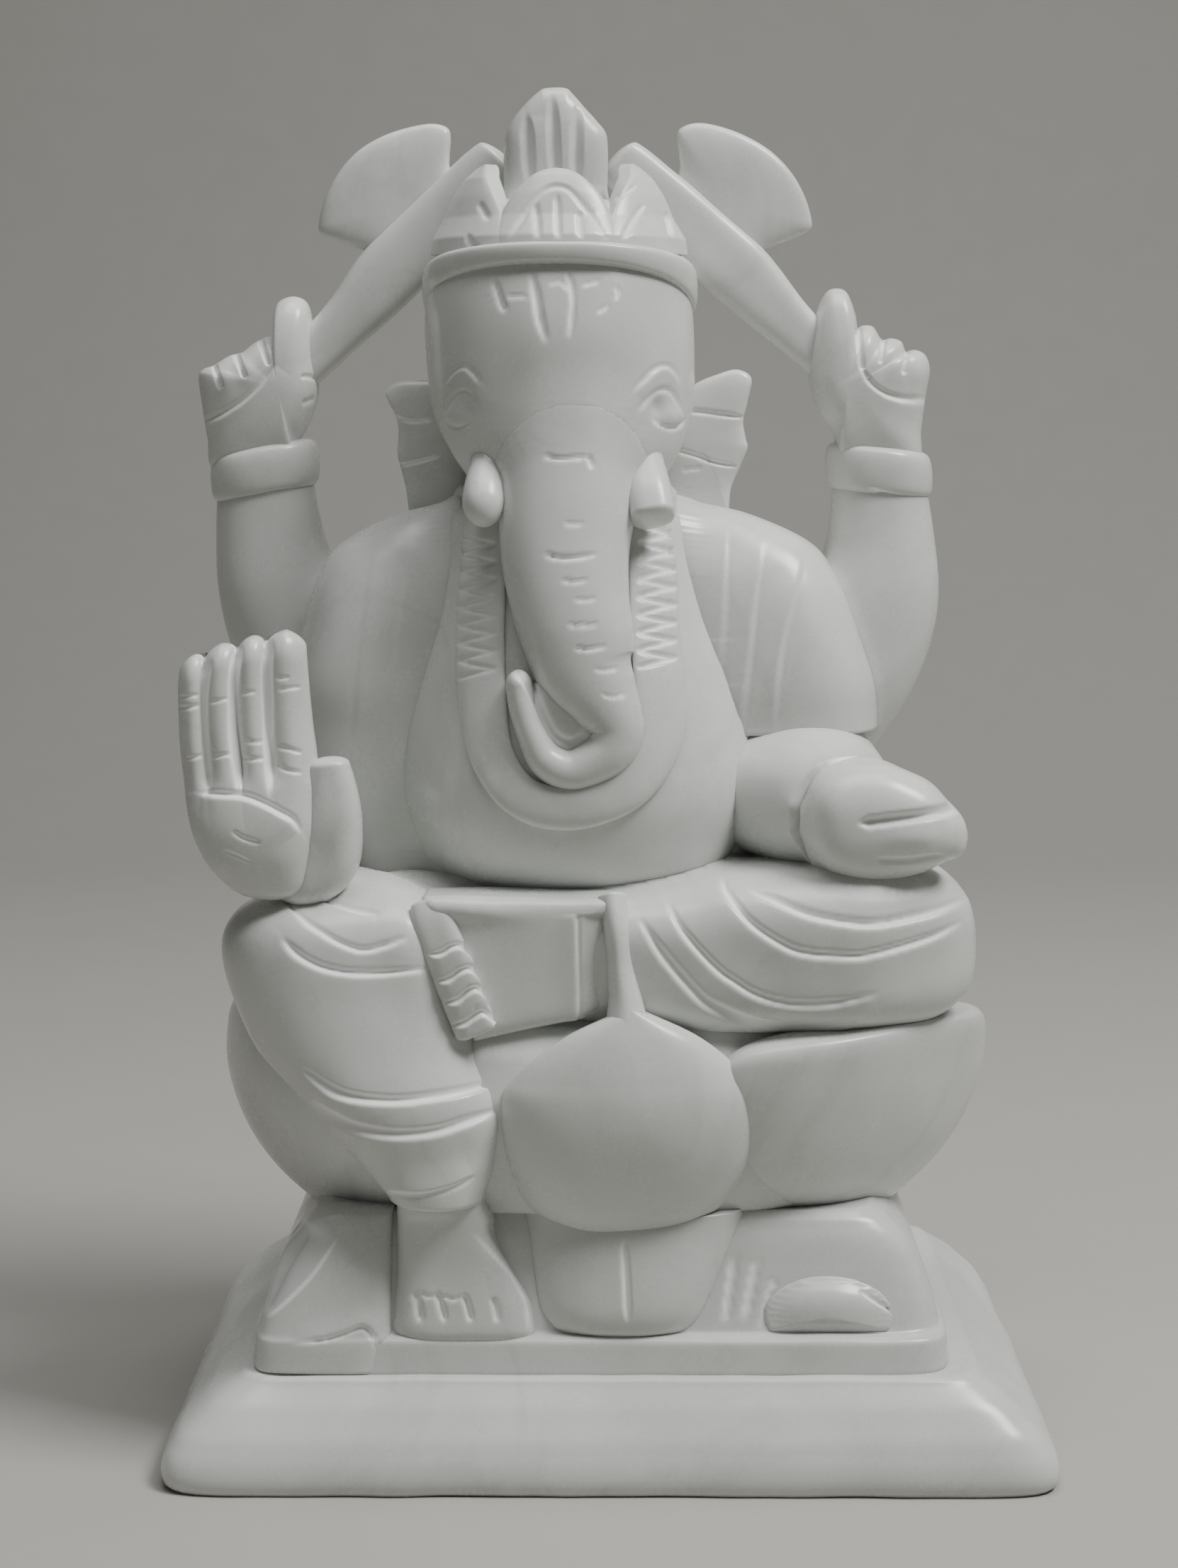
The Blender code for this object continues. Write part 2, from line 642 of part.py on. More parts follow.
def make_lower_petals():
    deep = LOWER_PETAL_DEPTH / 2
    y = -(BASE_TOP_DEPTH / 2 - LEDGE_SETBACK) + deep - LOWER_PETAL_STAND
    foot = LEDGE_TOP + SEAM_GAP
    height = PLINTH_TOP - SEAM_GAP - foot
    x, half = LOWER_PETAL_FRONT_X, LOWER_PETAL_FRONT_WIDTH / 2
    loft(
        "lower_petal_front",
        (
            (x, y, foot, 0.42 * half, 0.8 * deep),
            (x, y, foot + 0.12 * height, 0.86 * half, deep),
            (x, y, foot + 0.30 * height, half, deep),
            (x, y + 0.2 * deep, foot + height, half, deep),
        ),
        steps=7,
    )
    x, half = LOWER_PETAL_RIGHT_X, LOWER_PETAL_RIGHT_WIDTH / 2
    arch = [(math.cos(math.pi * k / 8), math.sin(math.pi * k / 8)) for k in range(9)]
    outline = [(x + half * c, foot + LOWER_PETAL_RIGHT_HEIGHT * s) for c, s in arch]
    plate("lower_petal_right", outline, y, LOWER_PETAL_DEPTH, 0.28 * deep)
    x, half = LOWER_PETAL_LEFT_X, LOWER_PETAL_LEFT_WIDTH / 2
    loft(
        "lower_petal_left",
        (
            (x, y, foot, half, deep),
            (x + 0.09 * half, y, foot + 0.32 * height, 0.95 * half, deep),
            (x + 0.43 * half, y + 0.33 * deep, foot + height, 0.62 * half, deep),
        ),
        steps=5,
        squareness=3.5,
    )


# Body and legs


def make_torso():
    stations = []
    for share, wide, deep in TORSO_PROFILE:
        z = SEAT_TOP + TORSO_HEIGHT * share
        stations.append((axis_x(z), TORSO_Y, z, TORSO_HALF_WIDTH * wide, TORSO_HALF_DEPTH * deep))
    loft("torso", stations, steps=10, sides=18, squareness=TORSO_SQUARENESS)


def belly_station(rise, wide, deep):
    """A level section of the belly: place and half sizes."""
    lift = BELLY_HALF_WIDTH * rise
    z = BELLY_Z + lift
    y = BELLY_Y + BELLY_LEAN * max(lift, 0)
    return axis_x(z) - BELLY_SHIFT, y, z, BELLY_HALF_WIDTH * wide, BELLY_HALF_DEPTH * deep


def belly_front(x, z):
    """Y of the belly's front below or above which a thing at X and Z lies."""
    rows = np.array([belly_station(*row) for row in BELLY_PROFILE])
    middle, y, half_width, half_depth = (np.interp(z, rows[:, 2], rows[:, k]) for k in (0, 1, 3, 4))
    share = min(abs(x - middle) / half_width, 1.0)
    return y - half_depth * (1 - share**BELLY_SQUARENESS) ** (1 / BELLY_SQUARENESS)


def make_belly():
    stations = [belly_station(*row) for row in BELLY_PROFILE]
    loft("belly", stations, steps=12, sides=18, squareness=BELLY_SQUARENESS)


def make_left_leg():
    x, y, w, d = KNEE_LEFT_X, KNEE_LEFT_Y, KNEE_HALF_WIDTH, KNEE_HALF_DEPTH
    high, deep = THIGH_HALF_HEIGHT, THIGH_HALF_DEPTH
    loft(
        "left_thigh",
        (
            (x - 0.59 * w, y, LEG_Z, 0.55 * deep, 0.6 * high),
            (x - 0.20 * w, y, LEG_Z, 0.9 * deep, 0.96 * high),
            (x + 0.68 * w, y + 0.43 * d, LEG_Z, deep, high),
            (x + 1.56 * w, y + 0.81 * d, LEG_Z - 0.085 * high, deep, 0.92 * high),
        ),
        plane="YZ",
        steps=7,
    )
    low = LEDGE_TOP + ANKLE_RISE
    drop, dx, dy = LEG_Z - low, ANKLE_X - x, ANKLE_Y - y
    loft(
        "left_shin",
        (
            (x, y, LEG_Z + 0.81 * high, 0.55 * w, 0.55 * d),
            (x, y, LEG_Z + 0.55 * high, 0.86 * w, 0.86 * d),
            (x + 0.05 * dx, y, LEG_Z - 0.02 * drop, w, d),
            (x + 0.34 * dx, y + 0.30 * dy, LEG_Z - 0.33 * drop, 0.98 * w, 0.91 * d),
            (x + 0.74 * dx, y + 0.70 * dy, LEG_Z - 0.56 * drop, 0.86 * w, 0.75 * d),
            (x + 0.92 * dx, y + 0.88 * dy, LEG_Z - 0.78 * drop, 0.61 * w, 0.61 * d),
            (ANKLE_X, ANKLE_Y, low, ANKLE_HALF_WIDTH, ANKLE_HALF_DEPTH),
        ),
        steps=10,
        sides=14,
    )
    half, deep = FOOT_WIDTH / 2, FOOT_LENGTH / 2
    y = -(BASE_TOP_DEPTH / 2 - LEDGE_SETBACK) + deep - FOOT_STAND
    loft(
        "left_foot",
        (
            (FOOT_X, y, LEDGE_TOP + SEAM_GAP, half, deep),
            (FOOT_X, y, LEDGE_TOP + 0.2 * ANKLE_RISE, 0.97 * half, 0.95 * deep),
            (FOOT_X - 0.17 * half, y, LEDGE_TOP + 0.59 * ANKLE_RISE, 0.75 * half, 0.83 * deep),
            (ANKLE_X, y, LEDGE_TOP + 1.05 * ANKLE_RISE, 0.57 * half, 0.80 * deep),
        ),
        steps=7,
        squareness=3.0,
    )


def make_right_leg():
    z = SEAT_TOP + RIGHT_LEG_RISE
    stations = []
    for share, deep, high in RIGHT_LEG_PROFILE:
        half_depth, half_height = RIGHT_LEG_HALF_DEPTH * deep, RIGHT_LEG_HALF_HEIGHT * high
        stations.append((RIGHT_KNEE_X * share, RIGHT_LEG_Y, z, half_depth, half_height))
    loft("right_leg", stations, plane="YZ", steps=10, sides=14, squareness=RIGHT_LEG_SQUARENESS)


def make_lap_cloth():
    top = SEAT_TOP + APRON_TOP_RISE
    left, wide, high = APRON_LEFT_X, APRON_RIGHT_X - APRON_LEFT_X, APRON_HEIGHT
    outline = (
        (left, top),
        (left + 0.37 * wide, top - 1.12 * high),
        (left + 0.62 * wide, top - 1.05 * high),
        (APRON_RIGHT_X, top - 0.95 * high),
        (APRON_RIGHT_X, top),
    )
    plate("apron", outline, APRON_FRONT_Y + APRON_DEPTH / 2, APRON_DEPTH, 0.13 * APRON_DEPTH)
    half, deep, face = SASH_HALF_WIDTH, SASH_DEPTH, APRON_FRONT_Y - 0.2 * SASH_DEPTH
    sweep(
        "sash",
        (
            (left + 0.08 * wide, face + 0.3 * deep, top - 0.02 * high, 0.9 * half, deep),
            (left + 0.16 * wide, face, top - 0.33 * high, half, deep),
            (left + 0.29 * wide, face, top - 0.69 * high, half, deep),
            (left + 0.41 * wide, face, top - 1.02 * high, 0.95 * half, deep),
        ),
        steps=6,
        squareness=3.0,
    )
    half, deep = PLEAT_HALF_WIDTH, PLEAT_HALF_DEPTH
    x = APRON_RIGHT_X + half
    sweep(
        "pleat",
        (
            (x, APRON_FRONT_Y + 1.25 * deep, top, half, deep),
            (x + 0.1 * half, APRON_FRONT_Y + 0.9 * deep, top - 0.45 * high, 1.1 * half, deep),
            (x + 0.4 * half, APRON_FRONT_Y + 0.6 * deep, top - 0.88 * high, 1.3 * half, deep),
        ),
        steps=5,
        squareness=2.4,
    )


def make_drapes():
    for side, sign in (("left", -1), ("right", 1)):
        stations = []
        for share, out, wide, deep in DRAPE_PROFILE:
            z = SEAT_TOP + DRAPE_HEM_RISE + DRAPE_HEIGHT * share
            x = axis_x(z) + sign * DRAPE_OFFSET * out
            stations.append((x, DRAPE_Y, z, DRAPE_HALF_WIDTH * wide, DRAPE_HALF_DEPTH * deep))
        loft("shoulder_drape_" + side, stations, steps=8, squareness=2.4)


# Arms


def make_front_arms():
    z = SEAT_TOP + LEFT_ELBOW_RISE
    elbow = Vector((axis_x(z) - ELBOW_OFFSET, ELBOW_Y, z))
    z = PALM_FOOT_Z + 0.34 * PALM_HEIGHT
    wrist = Vector((PALM_X + 0.3 * PALM_HALF_WIDTH, PALM_Y + 0.5 * PALM_HALF_DEPTH, z))
    rows = ((0.0, 1.0), (0.45, 0.95), (1.0, 0.88))
    make_forearm("front_arm_left", elbow, wrist, LEFT_FOREARM_RADIUS, rows)
    z = SEAT_TOP + RIGHT_ELBOW_RISE
    elbow = Vector((axis_x(z) + ELBOW_OFFSET, ELBOW_Y, z))
    wrist = Vector((RIGHT_HAND_X - 0.36 * RIGHT_HAND_HALF_LENGTH, RIGHT_HAND_Y, SEAT_TOP + RIGHT_HAND_RISE))
    rows = ((0.0, 1.0), (0.36, 1.02), (0.66, 0.95), (1.0, 0.70))
    make_forearm("front_arm_right", elbow, wrist, RIGHT_FOREARM_RADIUS, rows)


def make_forearm(name, elbow, wrist, radius, rows):
    """A straight taper from the elbow, inside the torso, to the wrist, inside the hand."""
    stations = []
    for share, wide in rows:
        stations.append((*elbow.lerp(wrist, share), radius * wide, 0.97 * radius * wide))
    sweep(name, stations, steps=7, face=Vector((0, 0, 1)))


def make_left_hand():
    w, d, foot, high = PALM_HALF_WIDTH, PALM_HALF_DEPTH, PALM_FOOT_Z, PALM_HEIGHT
    palm = loft(
        "front_hand_left",
        (
            (PALM_X + 0.26 * w, PALM_Y, foot, 0.56 * w, 0.80 * d),
            (PALM_X + 0.13 * w, PALM_Y, foot + 0.24 * high, 0.84 * w, d),
            (PALM_X, PALM_Y, foot + 0.63 * high, w, d),
            (PALM_X, PALM_Y, foot + high, 0.97 * w, 0.72 * d),
        ),
        steps=7,
        squareness=2.8,
    )
    parts = []
    r = FINGER_RADIUS
    for k, tip in enumerate(FINGER_TIPS):
        x = PALM_X + (k - 1.5) * FINGER_PITCH
        stations = (
            (x, PALM_Y, foot + high - 2.5 * r, r, r),
            (x, PALM_Y, foot + tip - 1.9 * r, r, r),
            (x, PALM_Y, foot + tip - 0.38 * r, 0.86 * r, 0.86 * r),
            (x, PALM_Y, foot + tip, 0.40 * r, 0.40 * r),
        )
        parts.append(sweep(f"finger_{k}", stations, steps=5, sides=8, squareness=2.4))
    r = THUMB_RADIUS
    stations = (
        (PALM_X + 0.78 * w, PALM_Y, foot + 0.20 * high, 0.9 * r, 0.9 * r),
        (PALM_X + 1.20 * w, PALM_Y - 0.3 * r, foot + 0.54 * high, r, r),
        (PALM_X + 1.26 * w, PALM_Y - 0.4 * r, foot + 0.88 * high, 0.80 * r, 0.80 * r),
        (PALM_X + 1.18 * w, PALM_Y - 0.3 * r, foot + 1.20 * high, 0.50 * r, 0.50 * r),
    )
    parts.append(sweep("thumb", stations, steps=6, sides=8))
    fuse(palm, *parts)


def make_right_hand():
    h, d, reach = RIGHT_HAND_HALF_HEIGHT, RIGHT_HAND_HALF_DEPTH, RIGHT_HAND_HALF_LENGTH
    z = SEAT_TOP + RIGHT_HAND_RISE
    rows = ((-1.0, 0.34, 0.40, 0.0), (-0.80, 0.80, 0.84, 0.0), (-0.30, 1.0, 1.0, 0.04))
    rows += ((0.25, 0.95, 0.90, 0.0), (0.66, 0.76, 0.66, -0.13), (0.92, 0.46, 0.36, -0.29))
    rows += ((1.0, 0.20, 0.14, -0.36),)
    stations = []
    for share, deep, high, rise in rows:
        stations.append((RIGHT_HAND_X + reach * share, RIGHT_HAND_Y, z + h * rise, d * deep, h * high))
    loft("front_hand_right", stations, plane="YZ", steps=9)


def rear_arm_stations(sign):
    """From the shoulder blade, round the elbow, up to the wrist."""
    stations = []
    for share, inward, wide in REAR_ARM_PROFILE:
        z = WRIST_Z + REAR_ARM_LENGTH * share
        half = REAR_ARM_HALF_WIDTH * wide
        x = axis_x(z) + sign * (REAR_ARM_OFFSET + REAR_ARM_HALF_WIDTH * inward)
        stations.append((x, REAR_ARM_Y, z, half, 0.9 * half))
    return stations


def make_rear_arm(side, sign):
    loft("rear_arm_" + side, rear_arm_stations(sign), steps=10)
    rows = ((-0.06, 0.93), (0.14, 1.0), (0.86, 1.0), (1.0, 0.90))
    stations = []
    for share, wide in rows:
        z = WRIST_Z + BRACELET_HEIGHT * share
        half = BRACELET_HALF_WIDTH * wide
        stations.append((axis_x(z) + sign * REAR_ARM_OFFSET, REAR_ARM_Y, z, half, 0.92 * half))
    loft("bracelet_" + side, stations, steps=5)


def make_fist(side, sign):
    """A palm with three folded fingers, and the finger that points up beside the axe."""
    x = axis_x(FIST_FOOT_Z) + sign * REAR_ARM_OFFSET
    w, d, y, high = FIST_HALF_WIDTH, FIST_HALF_DEPTH, REAR_ARM_Y, FIST_HEIGHT
    foot = FIST_FOOT_Z + SEAM_GAP
    palm = loft(
        "fist_" + side,
        (
            (x, y, foot, 0.80 * w, 0.86 * d),
            (x, y, foot + 0.35 * high, 0.92 * w, d),
            (x, y, foot + 0.75 * high, w, d),
            (x - sign * 0.08 * w, y, foot + high, 0.84 * w, 0.8 * d),
        ),
        steps=6,
        squareness=2.6,
    )
    parts = []
    r = KNUCKLE_RADIUS
    for k in range(3):
        top = foot + (0.91 + 0.21 * k) * high
        middle = x + sign * (0.73 - 0.44 * k) * w
        stations = (
            (middle, y - 0.45 * d, top - 2.76 * r, r, r),
            (middle, y - 0.41 * d, top - 0.69 * r, r, 1.3 * r),
            (middle, y - 0.36 * d, top, 0.5 * r, 0.7 * r),
        )
        parts.append(sweep(f"knuckle_{k}", stations, steps=4, sides=8))
    r = INDEX_RADIUS
    middle, front = x - sign * 0.69 * w, y - 0.25 * d
    stations = (
        (middle, front, foot + 0.30 * INDEX_HEIGHT, r, r),
        (middle, front, foot + 0.73 * INDEX_HEIGHT, 1.05 * r, r),
        (middle, front, foot + 0.92 * INDEX_HEIGHT, 0.85 * r, 0.8 * r),
        (middle, front, foot + INDEX_HEIGHT, 0.45 * r, 0.45 * r),
    )
    parts.append(sweep("index_finger", stations, steps=5, sides=8))
    fuse(palm, *parts)


def make_axe(side, sign):
    """A bowed flat handle from the fist to the crown, with a fan blade on its outer edge."""
    low_z = FIST_FOOT_Z + AXE_GRIP_RISE
    high_z = low_z + AXE_HANDLE_TOP_RISE
    low = Vector((axis_x(low_z) + sign * AXE_HANDLE_FOOT_OFFSET, REAR_ARM_Y, low_z))
    high = Vector((axis_x(high_z) + sign * AXE_HANDLE_TOP_OFFSET, REAR_ARM_Y, high_z))
    along = (high - low).normalized()
    across = Vector((sign * along.z, 0, abs(along.x)))
    rows = ((-0.12, 0.60, 0.0), (0.12, 0.82, 0.4), (0.42, 1.10, 0.9), (0.8, 0.98, 0.5), (1.0, 0.80, 0.0))
    stations = []
    for share, wide, bow in rows:
        at = low.lerp(high, share) + across * AXE_HANDLE_BOW * bow
        stations.append((*at, AXE_HANDLE_HALF_WIDTH * wide, AXE_HANDLE_HALF_DEPTH))
    sweep("axe_handle_" + side, stations, steps=7, sides=10, squareness=3.0)
    spine = low.lerp(high, 0.50)

    def outward(run, out):
        point = spine + (along * run + across * out) * AXE_BLADE_REACH
        return (point.x, point.z)

    edge = arc_through(outward(-0.363, 0.763), outward(0.284, 1.0), outward(1.1, 0.61), 8)
    root = [outward(0.83, 0.158), outward(-0.168, 0.158)]
    plate("axe_blade_" + side, edge + root, REAR_ARM_Y, AXE_BLADE_THICKNESS, 0.2 * AXE_BLADE_THICKNESS)


# Head and crown


def make_head():
    w, d = HEAD_HALF_WIDTH, HEAD_HALF_DEPTH
    stations = []
    for rise, wide, deep, back in HEAD_PROFILE:
        z = HEAD_Z + w * rise
        stations.append((axis_x(z) - HEAD_SHIFT, HEAD_Y + w * back, z, w * wide, d * deep))
    loft("head", stations, steps=11, sides=16, squareness=2.3)


def make_trunk():
    """Hangs down the face and chest, then curls up to the viewer's left."""
    w, tip, length, curl = TRUNK_HALF_WIDTH, TRUNK_TIP_RADIUS, TRUNK_LENGTH, TRUNK_CURL
    front = HEAD_Y - 0.55 * HEAD_HALF_DEPTH
    # drop, reach to the front and drift in shares of the length, then shares of the half width
    rows = ((0.0, 0.0, 0.012, 1.16, 0.88), (0.235, 0.059, 0.022, 1.05, 0.90))
    rows += ((0.47, 0.147, 0.031, 0.97, 0.86), (0.667, 0.206, 0.043, 0.90, 0.80))
    rows += ((0.843, 0.255, 0.071, 0.78, 0.74), (1.0, 0.294, 0.118, 0.62, 0.66))
    stations = []
    for drop, out, drift, wide, deep in rows:
        x = axis_x(HEAD_Z) + length * drift
        stations.append((x, front - length * out, HEAD_Z - length * drop, w * wide, w * deep))
    x, y, z = stations[-1][0], stations[-1][1] - 0.09 * curl, stations[-1][2]
    # the curl's place in shares of its size, then a share of the half width
    rows = ((0.10, -0.51, 0.52), (-0.03, -0.86, 0.45), (-0.45, -1.0, 0.39))
    rows += ((-0.82, -0.80, 0.33), (-0.98, -0.40, 0.27))
    for dx, dz, wide in rows:
        stations.append((x + curl * dx, y, z + curl * dz, w * wide, max(wide, 0.42) * w))
    stations.append((x - curl, y, z - 0.04 * curl, tip, tip))
    sweep("trunk", stations, steps=18, sides=12)


def make_tusks():
    r = TUSK_RADIUS
    z = HEAD_Z - 0.7 * HEAD_HALF_WIDTH
    front = HEAD_Y - 0.565 * HEAD_HALF_DEPTH
    tusks = (("left", -1, LEFT_TUSK_LENGTH, 0.50), ("right", 1, RIGHT_TUSK_LENGTH, 0.86))
    for side, sign, length, tip in tusks:
        x = axis_x(z) + sign * TUSK_OFFSET
        stations = (
            (x - sign * 0.56 * r, front, z + 0.56 * r, 0.85 * r, 0.85 * r),
            (x - sign * 0.06 * r, front - 0.42 * length, z - 0.83 * r, 0.95 * r, 0.95 * r),
            (x + sign * 0.17 * r, front - 0.80 * length, z - 1.80 * r, r, r),
            (x + sign * 0.28 * r, front - length, z - 2.44 * r, tip * r, tip * r),
        )
        sweep("tusk_" + side, stations, steps=7, sides=10)


def make_ears():
    z = HEAD_Z - 0.652 * HEAD_HALF_WIDTH
    # outline from the head, round three scallops of the free edge, back to the head
    lobes = ((0.58, 0.93), (0.86, 1.0), (0.97, 0.93), (1.0, 0.76), (0.94, 0.48), (0.92, 0.31), (0.955, 0.10))
    lobes += ((0.935, -0.10), (0.89, -0.345), (0.885, -0.69), (0.58, -0.76))
    for side, sign in (("left", -1), ("right", 1)):
        outline = [(axis_x(z) + sign * EAR_REACH * out, z + EAR_HALF_HEIGHT * rise) for out, rise in lobes]
        plate("ear_" + side, outline, EAR_Y, EAR_THICKNESS, 0.2 * EAR_THICKNESS)


def make_garland():
    """A flat band on the belly, from behind one tusk, below the trunk's curl, to the other tusk."""
    low = HEAD_Z - TRUNK_LENGTH - TRUNK_CURL - GARLAND_CLEARANCE
    hang = HEAD_Z - GARLAND_TOP_DROP - low
    middle = axis_x(low)
    rows = ((-0.87, 1.0), (-0.915, 0.72), (-1.0, 0.426), (-0.80, 0.17), (0.0, 0.0))
    rows += ((0.745, 0.15), (0.915, 0.426), (0.84, 0.72), (0.78, 0.97))
    stations = []
    for out, rise in rows:
        x, z = middle + GARLAND_REACH * out, low + hang * rise
        stations.append((x, belly_front(x, z), z, GARLAND_HALF_WIDTH, GARLAND_HALF_DEPTH))
    sweep("garland", stations, steps=15, sides=8, squareness=3.0)


def band_z(forward, share):
    """Height on the crown's band: low edge at share 0, high edge at 1, forward of the crown's middle."""
    run = forward if forward > 0 else BAND_BACK_SHARE * forward
    low = BAND_LOW_Z + BAND_LOW_TILT * run
    high = BAND_HIGH_Z + BAND_HIGH_TILT * run
    return low + (high - low) * share


def wall_half(z):
    """Half width of the crown's cone at a height."""
    shares, halves = zip(*CROWN_WALL)
    return BAND_HALF_WIDTH * float(np.interp((z - BAND_HIGH_Z) / CAP_HEIGHT, shares, halves))


def make_crown():
    x, y, w = axis_x(BAND_HIGH_Z) - CROWN_SHIFT, CROWN_Y, BAND_HALF_WIDTH
    rings = []
    for share, wide in BAND_PROFILE:
        ring = superellipse(w * wide, w * wide, BAND_SQUARENESS, 16)
        rings.append([(x + u, y + v, band_z(-v, share)) for u, v in ring])
    skin("crown_band", rings)
    # the cap's foot lies inside the head in front, and closes the band behind
    stations = [(x, y + 0.10 * w, BAND_LOW_Z, 0.90 * w, 0.90 * w)]
    stations.append((x, y + 0.05 * w, BAND_HIGH_Z, 0.93 * w, 0.93 * w))
    for share in (0.30, 0.57, 0.83):
        half = wall_half(BAND_HIGH_Z + CAP_HEIGHT * share)
        stations.append((x, y, BAND_HIGH_Z + CAP_HEIGHT * share, half, half))
    stations.append((x, y, BAND_HIGH_Z + 0.93 * CAP_HEIGHT, 0.65 * w, 0.65 * w))
    stations.append((x, y, BAND_HIGH_Z + CAP_HEIGHT, 0.40 * w, 0.40 * w))
    loft("crown_cap", stations, steps=8, sides=16)
    make_peak()
    make_tooth("crown_tooth_front", 0.0, FRONT_TOOTH_HEIGHT, x)
    make_tooth("crown_tooth_left", -SIDE_TOOTH_ANGLE, SIDE_TOOTH_HEIGHT, x)
    make_tooth("crown_tooth_right", SIDE_TOOTH_ANGLE, SIDE_TOOTH_HEIGHT, x)


def make_tooth(name, angle, height, x):
    """A leaf-shaped plate that stands on the band and leans in on the cap."""
    turn = math.radians(angle)
    foot = band_z(BAND_HALF_WIDTH * math.cos(turn), 1.0) + SEAM_GAP
    rings = []
    for share, wide in ((0.0, 1.0), (0.30, 0.90), (0.50, 0.74), (0.70, 0.52), (0.88, 0.26), (1.0, 0.08)):
        z = foot + height * share
        ring = []
        for u, v in superellipse(TOOTH_HALF_WIDTH * wide, TOOTH_THICKNESS / 2, 3.0, 10):
            reach = wall_half(z) - 0.2 * TOOTH_THICKNESS - v
            px = x + reach * math.sin(turn) + u * math.cos(turn)
            py = CROWN_Y - reach * math.cos(turn) + u * math.sin(turn)
            ring.append((px, py, z))
        rings.append(ring)
    skin(name, rings)


def make_peak():
    base = BAND_HIGH_Z + 0.45 * CAP_HEIGHT
    top = BAND_HIGH_Z + CAP_HEIGHT + PEAK_HEIGHT
    x, w, high = axis_x(top), PEAK_HALF_WIDTH, PEAK_HEIGHT
    # offset from the middle in shares of the half width, drop from the tip in shares of the height
    edge = ((-1.0, 0.55), (-0.80, 0.31), (-0.36, 0.05), (-0.15, 0.0), (0.18, 0.0), (0.36, 0.07), (0.97, 0.48))
    outline = [(x - w, base)] + [(x + w * out, top - high * drop) for out, drop in edge] + [(x + w, base)]
    plate("crown_peak", outline, CROWN_Y, PEAK_DEPTH, 0.18 * PEAK_DEPTH)


def main():
    clear_scene()
    make_base()
    make_plinth()
    make_cup()
    make_torso()
    make_head()
    make_belly()
    make_left_leg()
    make_right_leg()
    make_lower_petals()
    make_petals()
    make_trunk()
    make_tusks()
    make_ears()
    make_drapes()
    make_left_hand()
    make_right_hand()
    make_front_arms()
    for side, sign in (("left", -1), ("right", 1)):
        make_rear_arm(side, sign)
        make_fist(side, sign)
    make_crown()
    for side, sign in (("left", -1), ("right", 1)):
        make_axe(side, sign)
    make_lap_cloth()
    make_garland()
    trim_pieces()
    finish_pieces()


main()
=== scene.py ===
"""Carved white marble for a seated, elephant-headed idol on a lotus.

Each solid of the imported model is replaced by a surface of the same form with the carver's
work on it: soft joins, waver of the hand, incised lines and their bare, unpolished stone.
Forms are in parts, of which the idol is 230.8 high.  Chisel lines are in pixels of the
photograph: a line is cut where the photograph's camera sees it on the form.
Left and right are the viewer's, looking along +Y.
"""

import math

import bpy
import numpy as np
from bpy.props import FloatProperty, FloatVectorProperty, PointerProperty
from mathutils import Euler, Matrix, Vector


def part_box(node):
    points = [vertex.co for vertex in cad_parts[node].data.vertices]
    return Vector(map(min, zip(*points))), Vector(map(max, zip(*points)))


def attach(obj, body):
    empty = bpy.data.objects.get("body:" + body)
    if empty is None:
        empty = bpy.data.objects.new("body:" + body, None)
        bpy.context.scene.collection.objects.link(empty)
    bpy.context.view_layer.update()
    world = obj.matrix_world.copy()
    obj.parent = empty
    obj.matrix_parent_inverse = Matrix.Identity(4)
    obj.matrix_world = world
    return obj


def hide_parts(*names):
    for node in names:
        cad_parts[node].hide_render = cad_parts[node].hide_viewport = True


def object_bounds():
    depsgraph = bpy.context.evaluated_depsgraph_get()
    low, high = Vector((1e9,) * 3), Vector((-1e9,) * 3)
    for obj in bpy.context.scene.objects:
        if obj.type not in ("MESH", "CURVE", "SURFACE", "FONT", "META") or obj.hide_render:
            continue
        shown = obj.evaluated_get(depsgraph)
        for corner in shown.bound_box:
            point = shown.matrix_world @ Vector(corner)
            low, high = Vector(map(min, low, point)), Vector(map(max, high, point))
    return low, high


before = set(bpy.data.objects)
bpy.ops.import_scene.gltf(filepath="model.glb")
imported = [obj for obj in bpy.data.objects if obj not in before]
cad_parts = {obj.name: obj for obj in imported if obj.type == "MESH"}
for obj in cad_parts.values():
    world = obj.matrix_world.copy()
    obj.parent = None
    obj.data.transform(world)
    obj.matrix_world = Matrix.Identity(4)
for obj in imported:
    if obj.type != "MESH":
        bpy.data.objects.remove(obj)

bl_info = {
    "name": "Carved Marble Idol",
    "version": (1, 0, 0),
    "blender": (4, 5, 0),
    "location": "View3D > Sidebar > Idol",
    "description": "Carves the idol's forms in marble and sets its stage",
    "category": "Object",
}

CAD_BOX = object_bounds()
IDOL_PARTS = 230.8
PART = (CAD_BOX[1][2] - CAD_BOX[0][2]) / IDOL_PARTS

# The photograph's camera: its place and turn in the idol's frame, its focus in pixels
PHOTO_WIDTH = 1662
PHOTO_HEIGHT = 2212
PHOTO_FOCUS = 3787.0
CAMERA_PLACE = (-0.001, -0.470, 0.177)
CAMERA_TURN = (math.radians(82.0), 0.0, math.radians(0.334))

# The figure leans: its axis moves this far in X for each part of height above its foot
AXIS_LEAN = -0.05
AXIS_FOOT = 30.0

# Distance between grid points, in parts
FINE = 0.40
MEDIUM = 0.52
COARSE = 0.80


# Curves


def axis_x(z):
    """X of the figure's leaning axis at a height."""
    return AXIS_LEAN * (z - AXIS_FOOT)


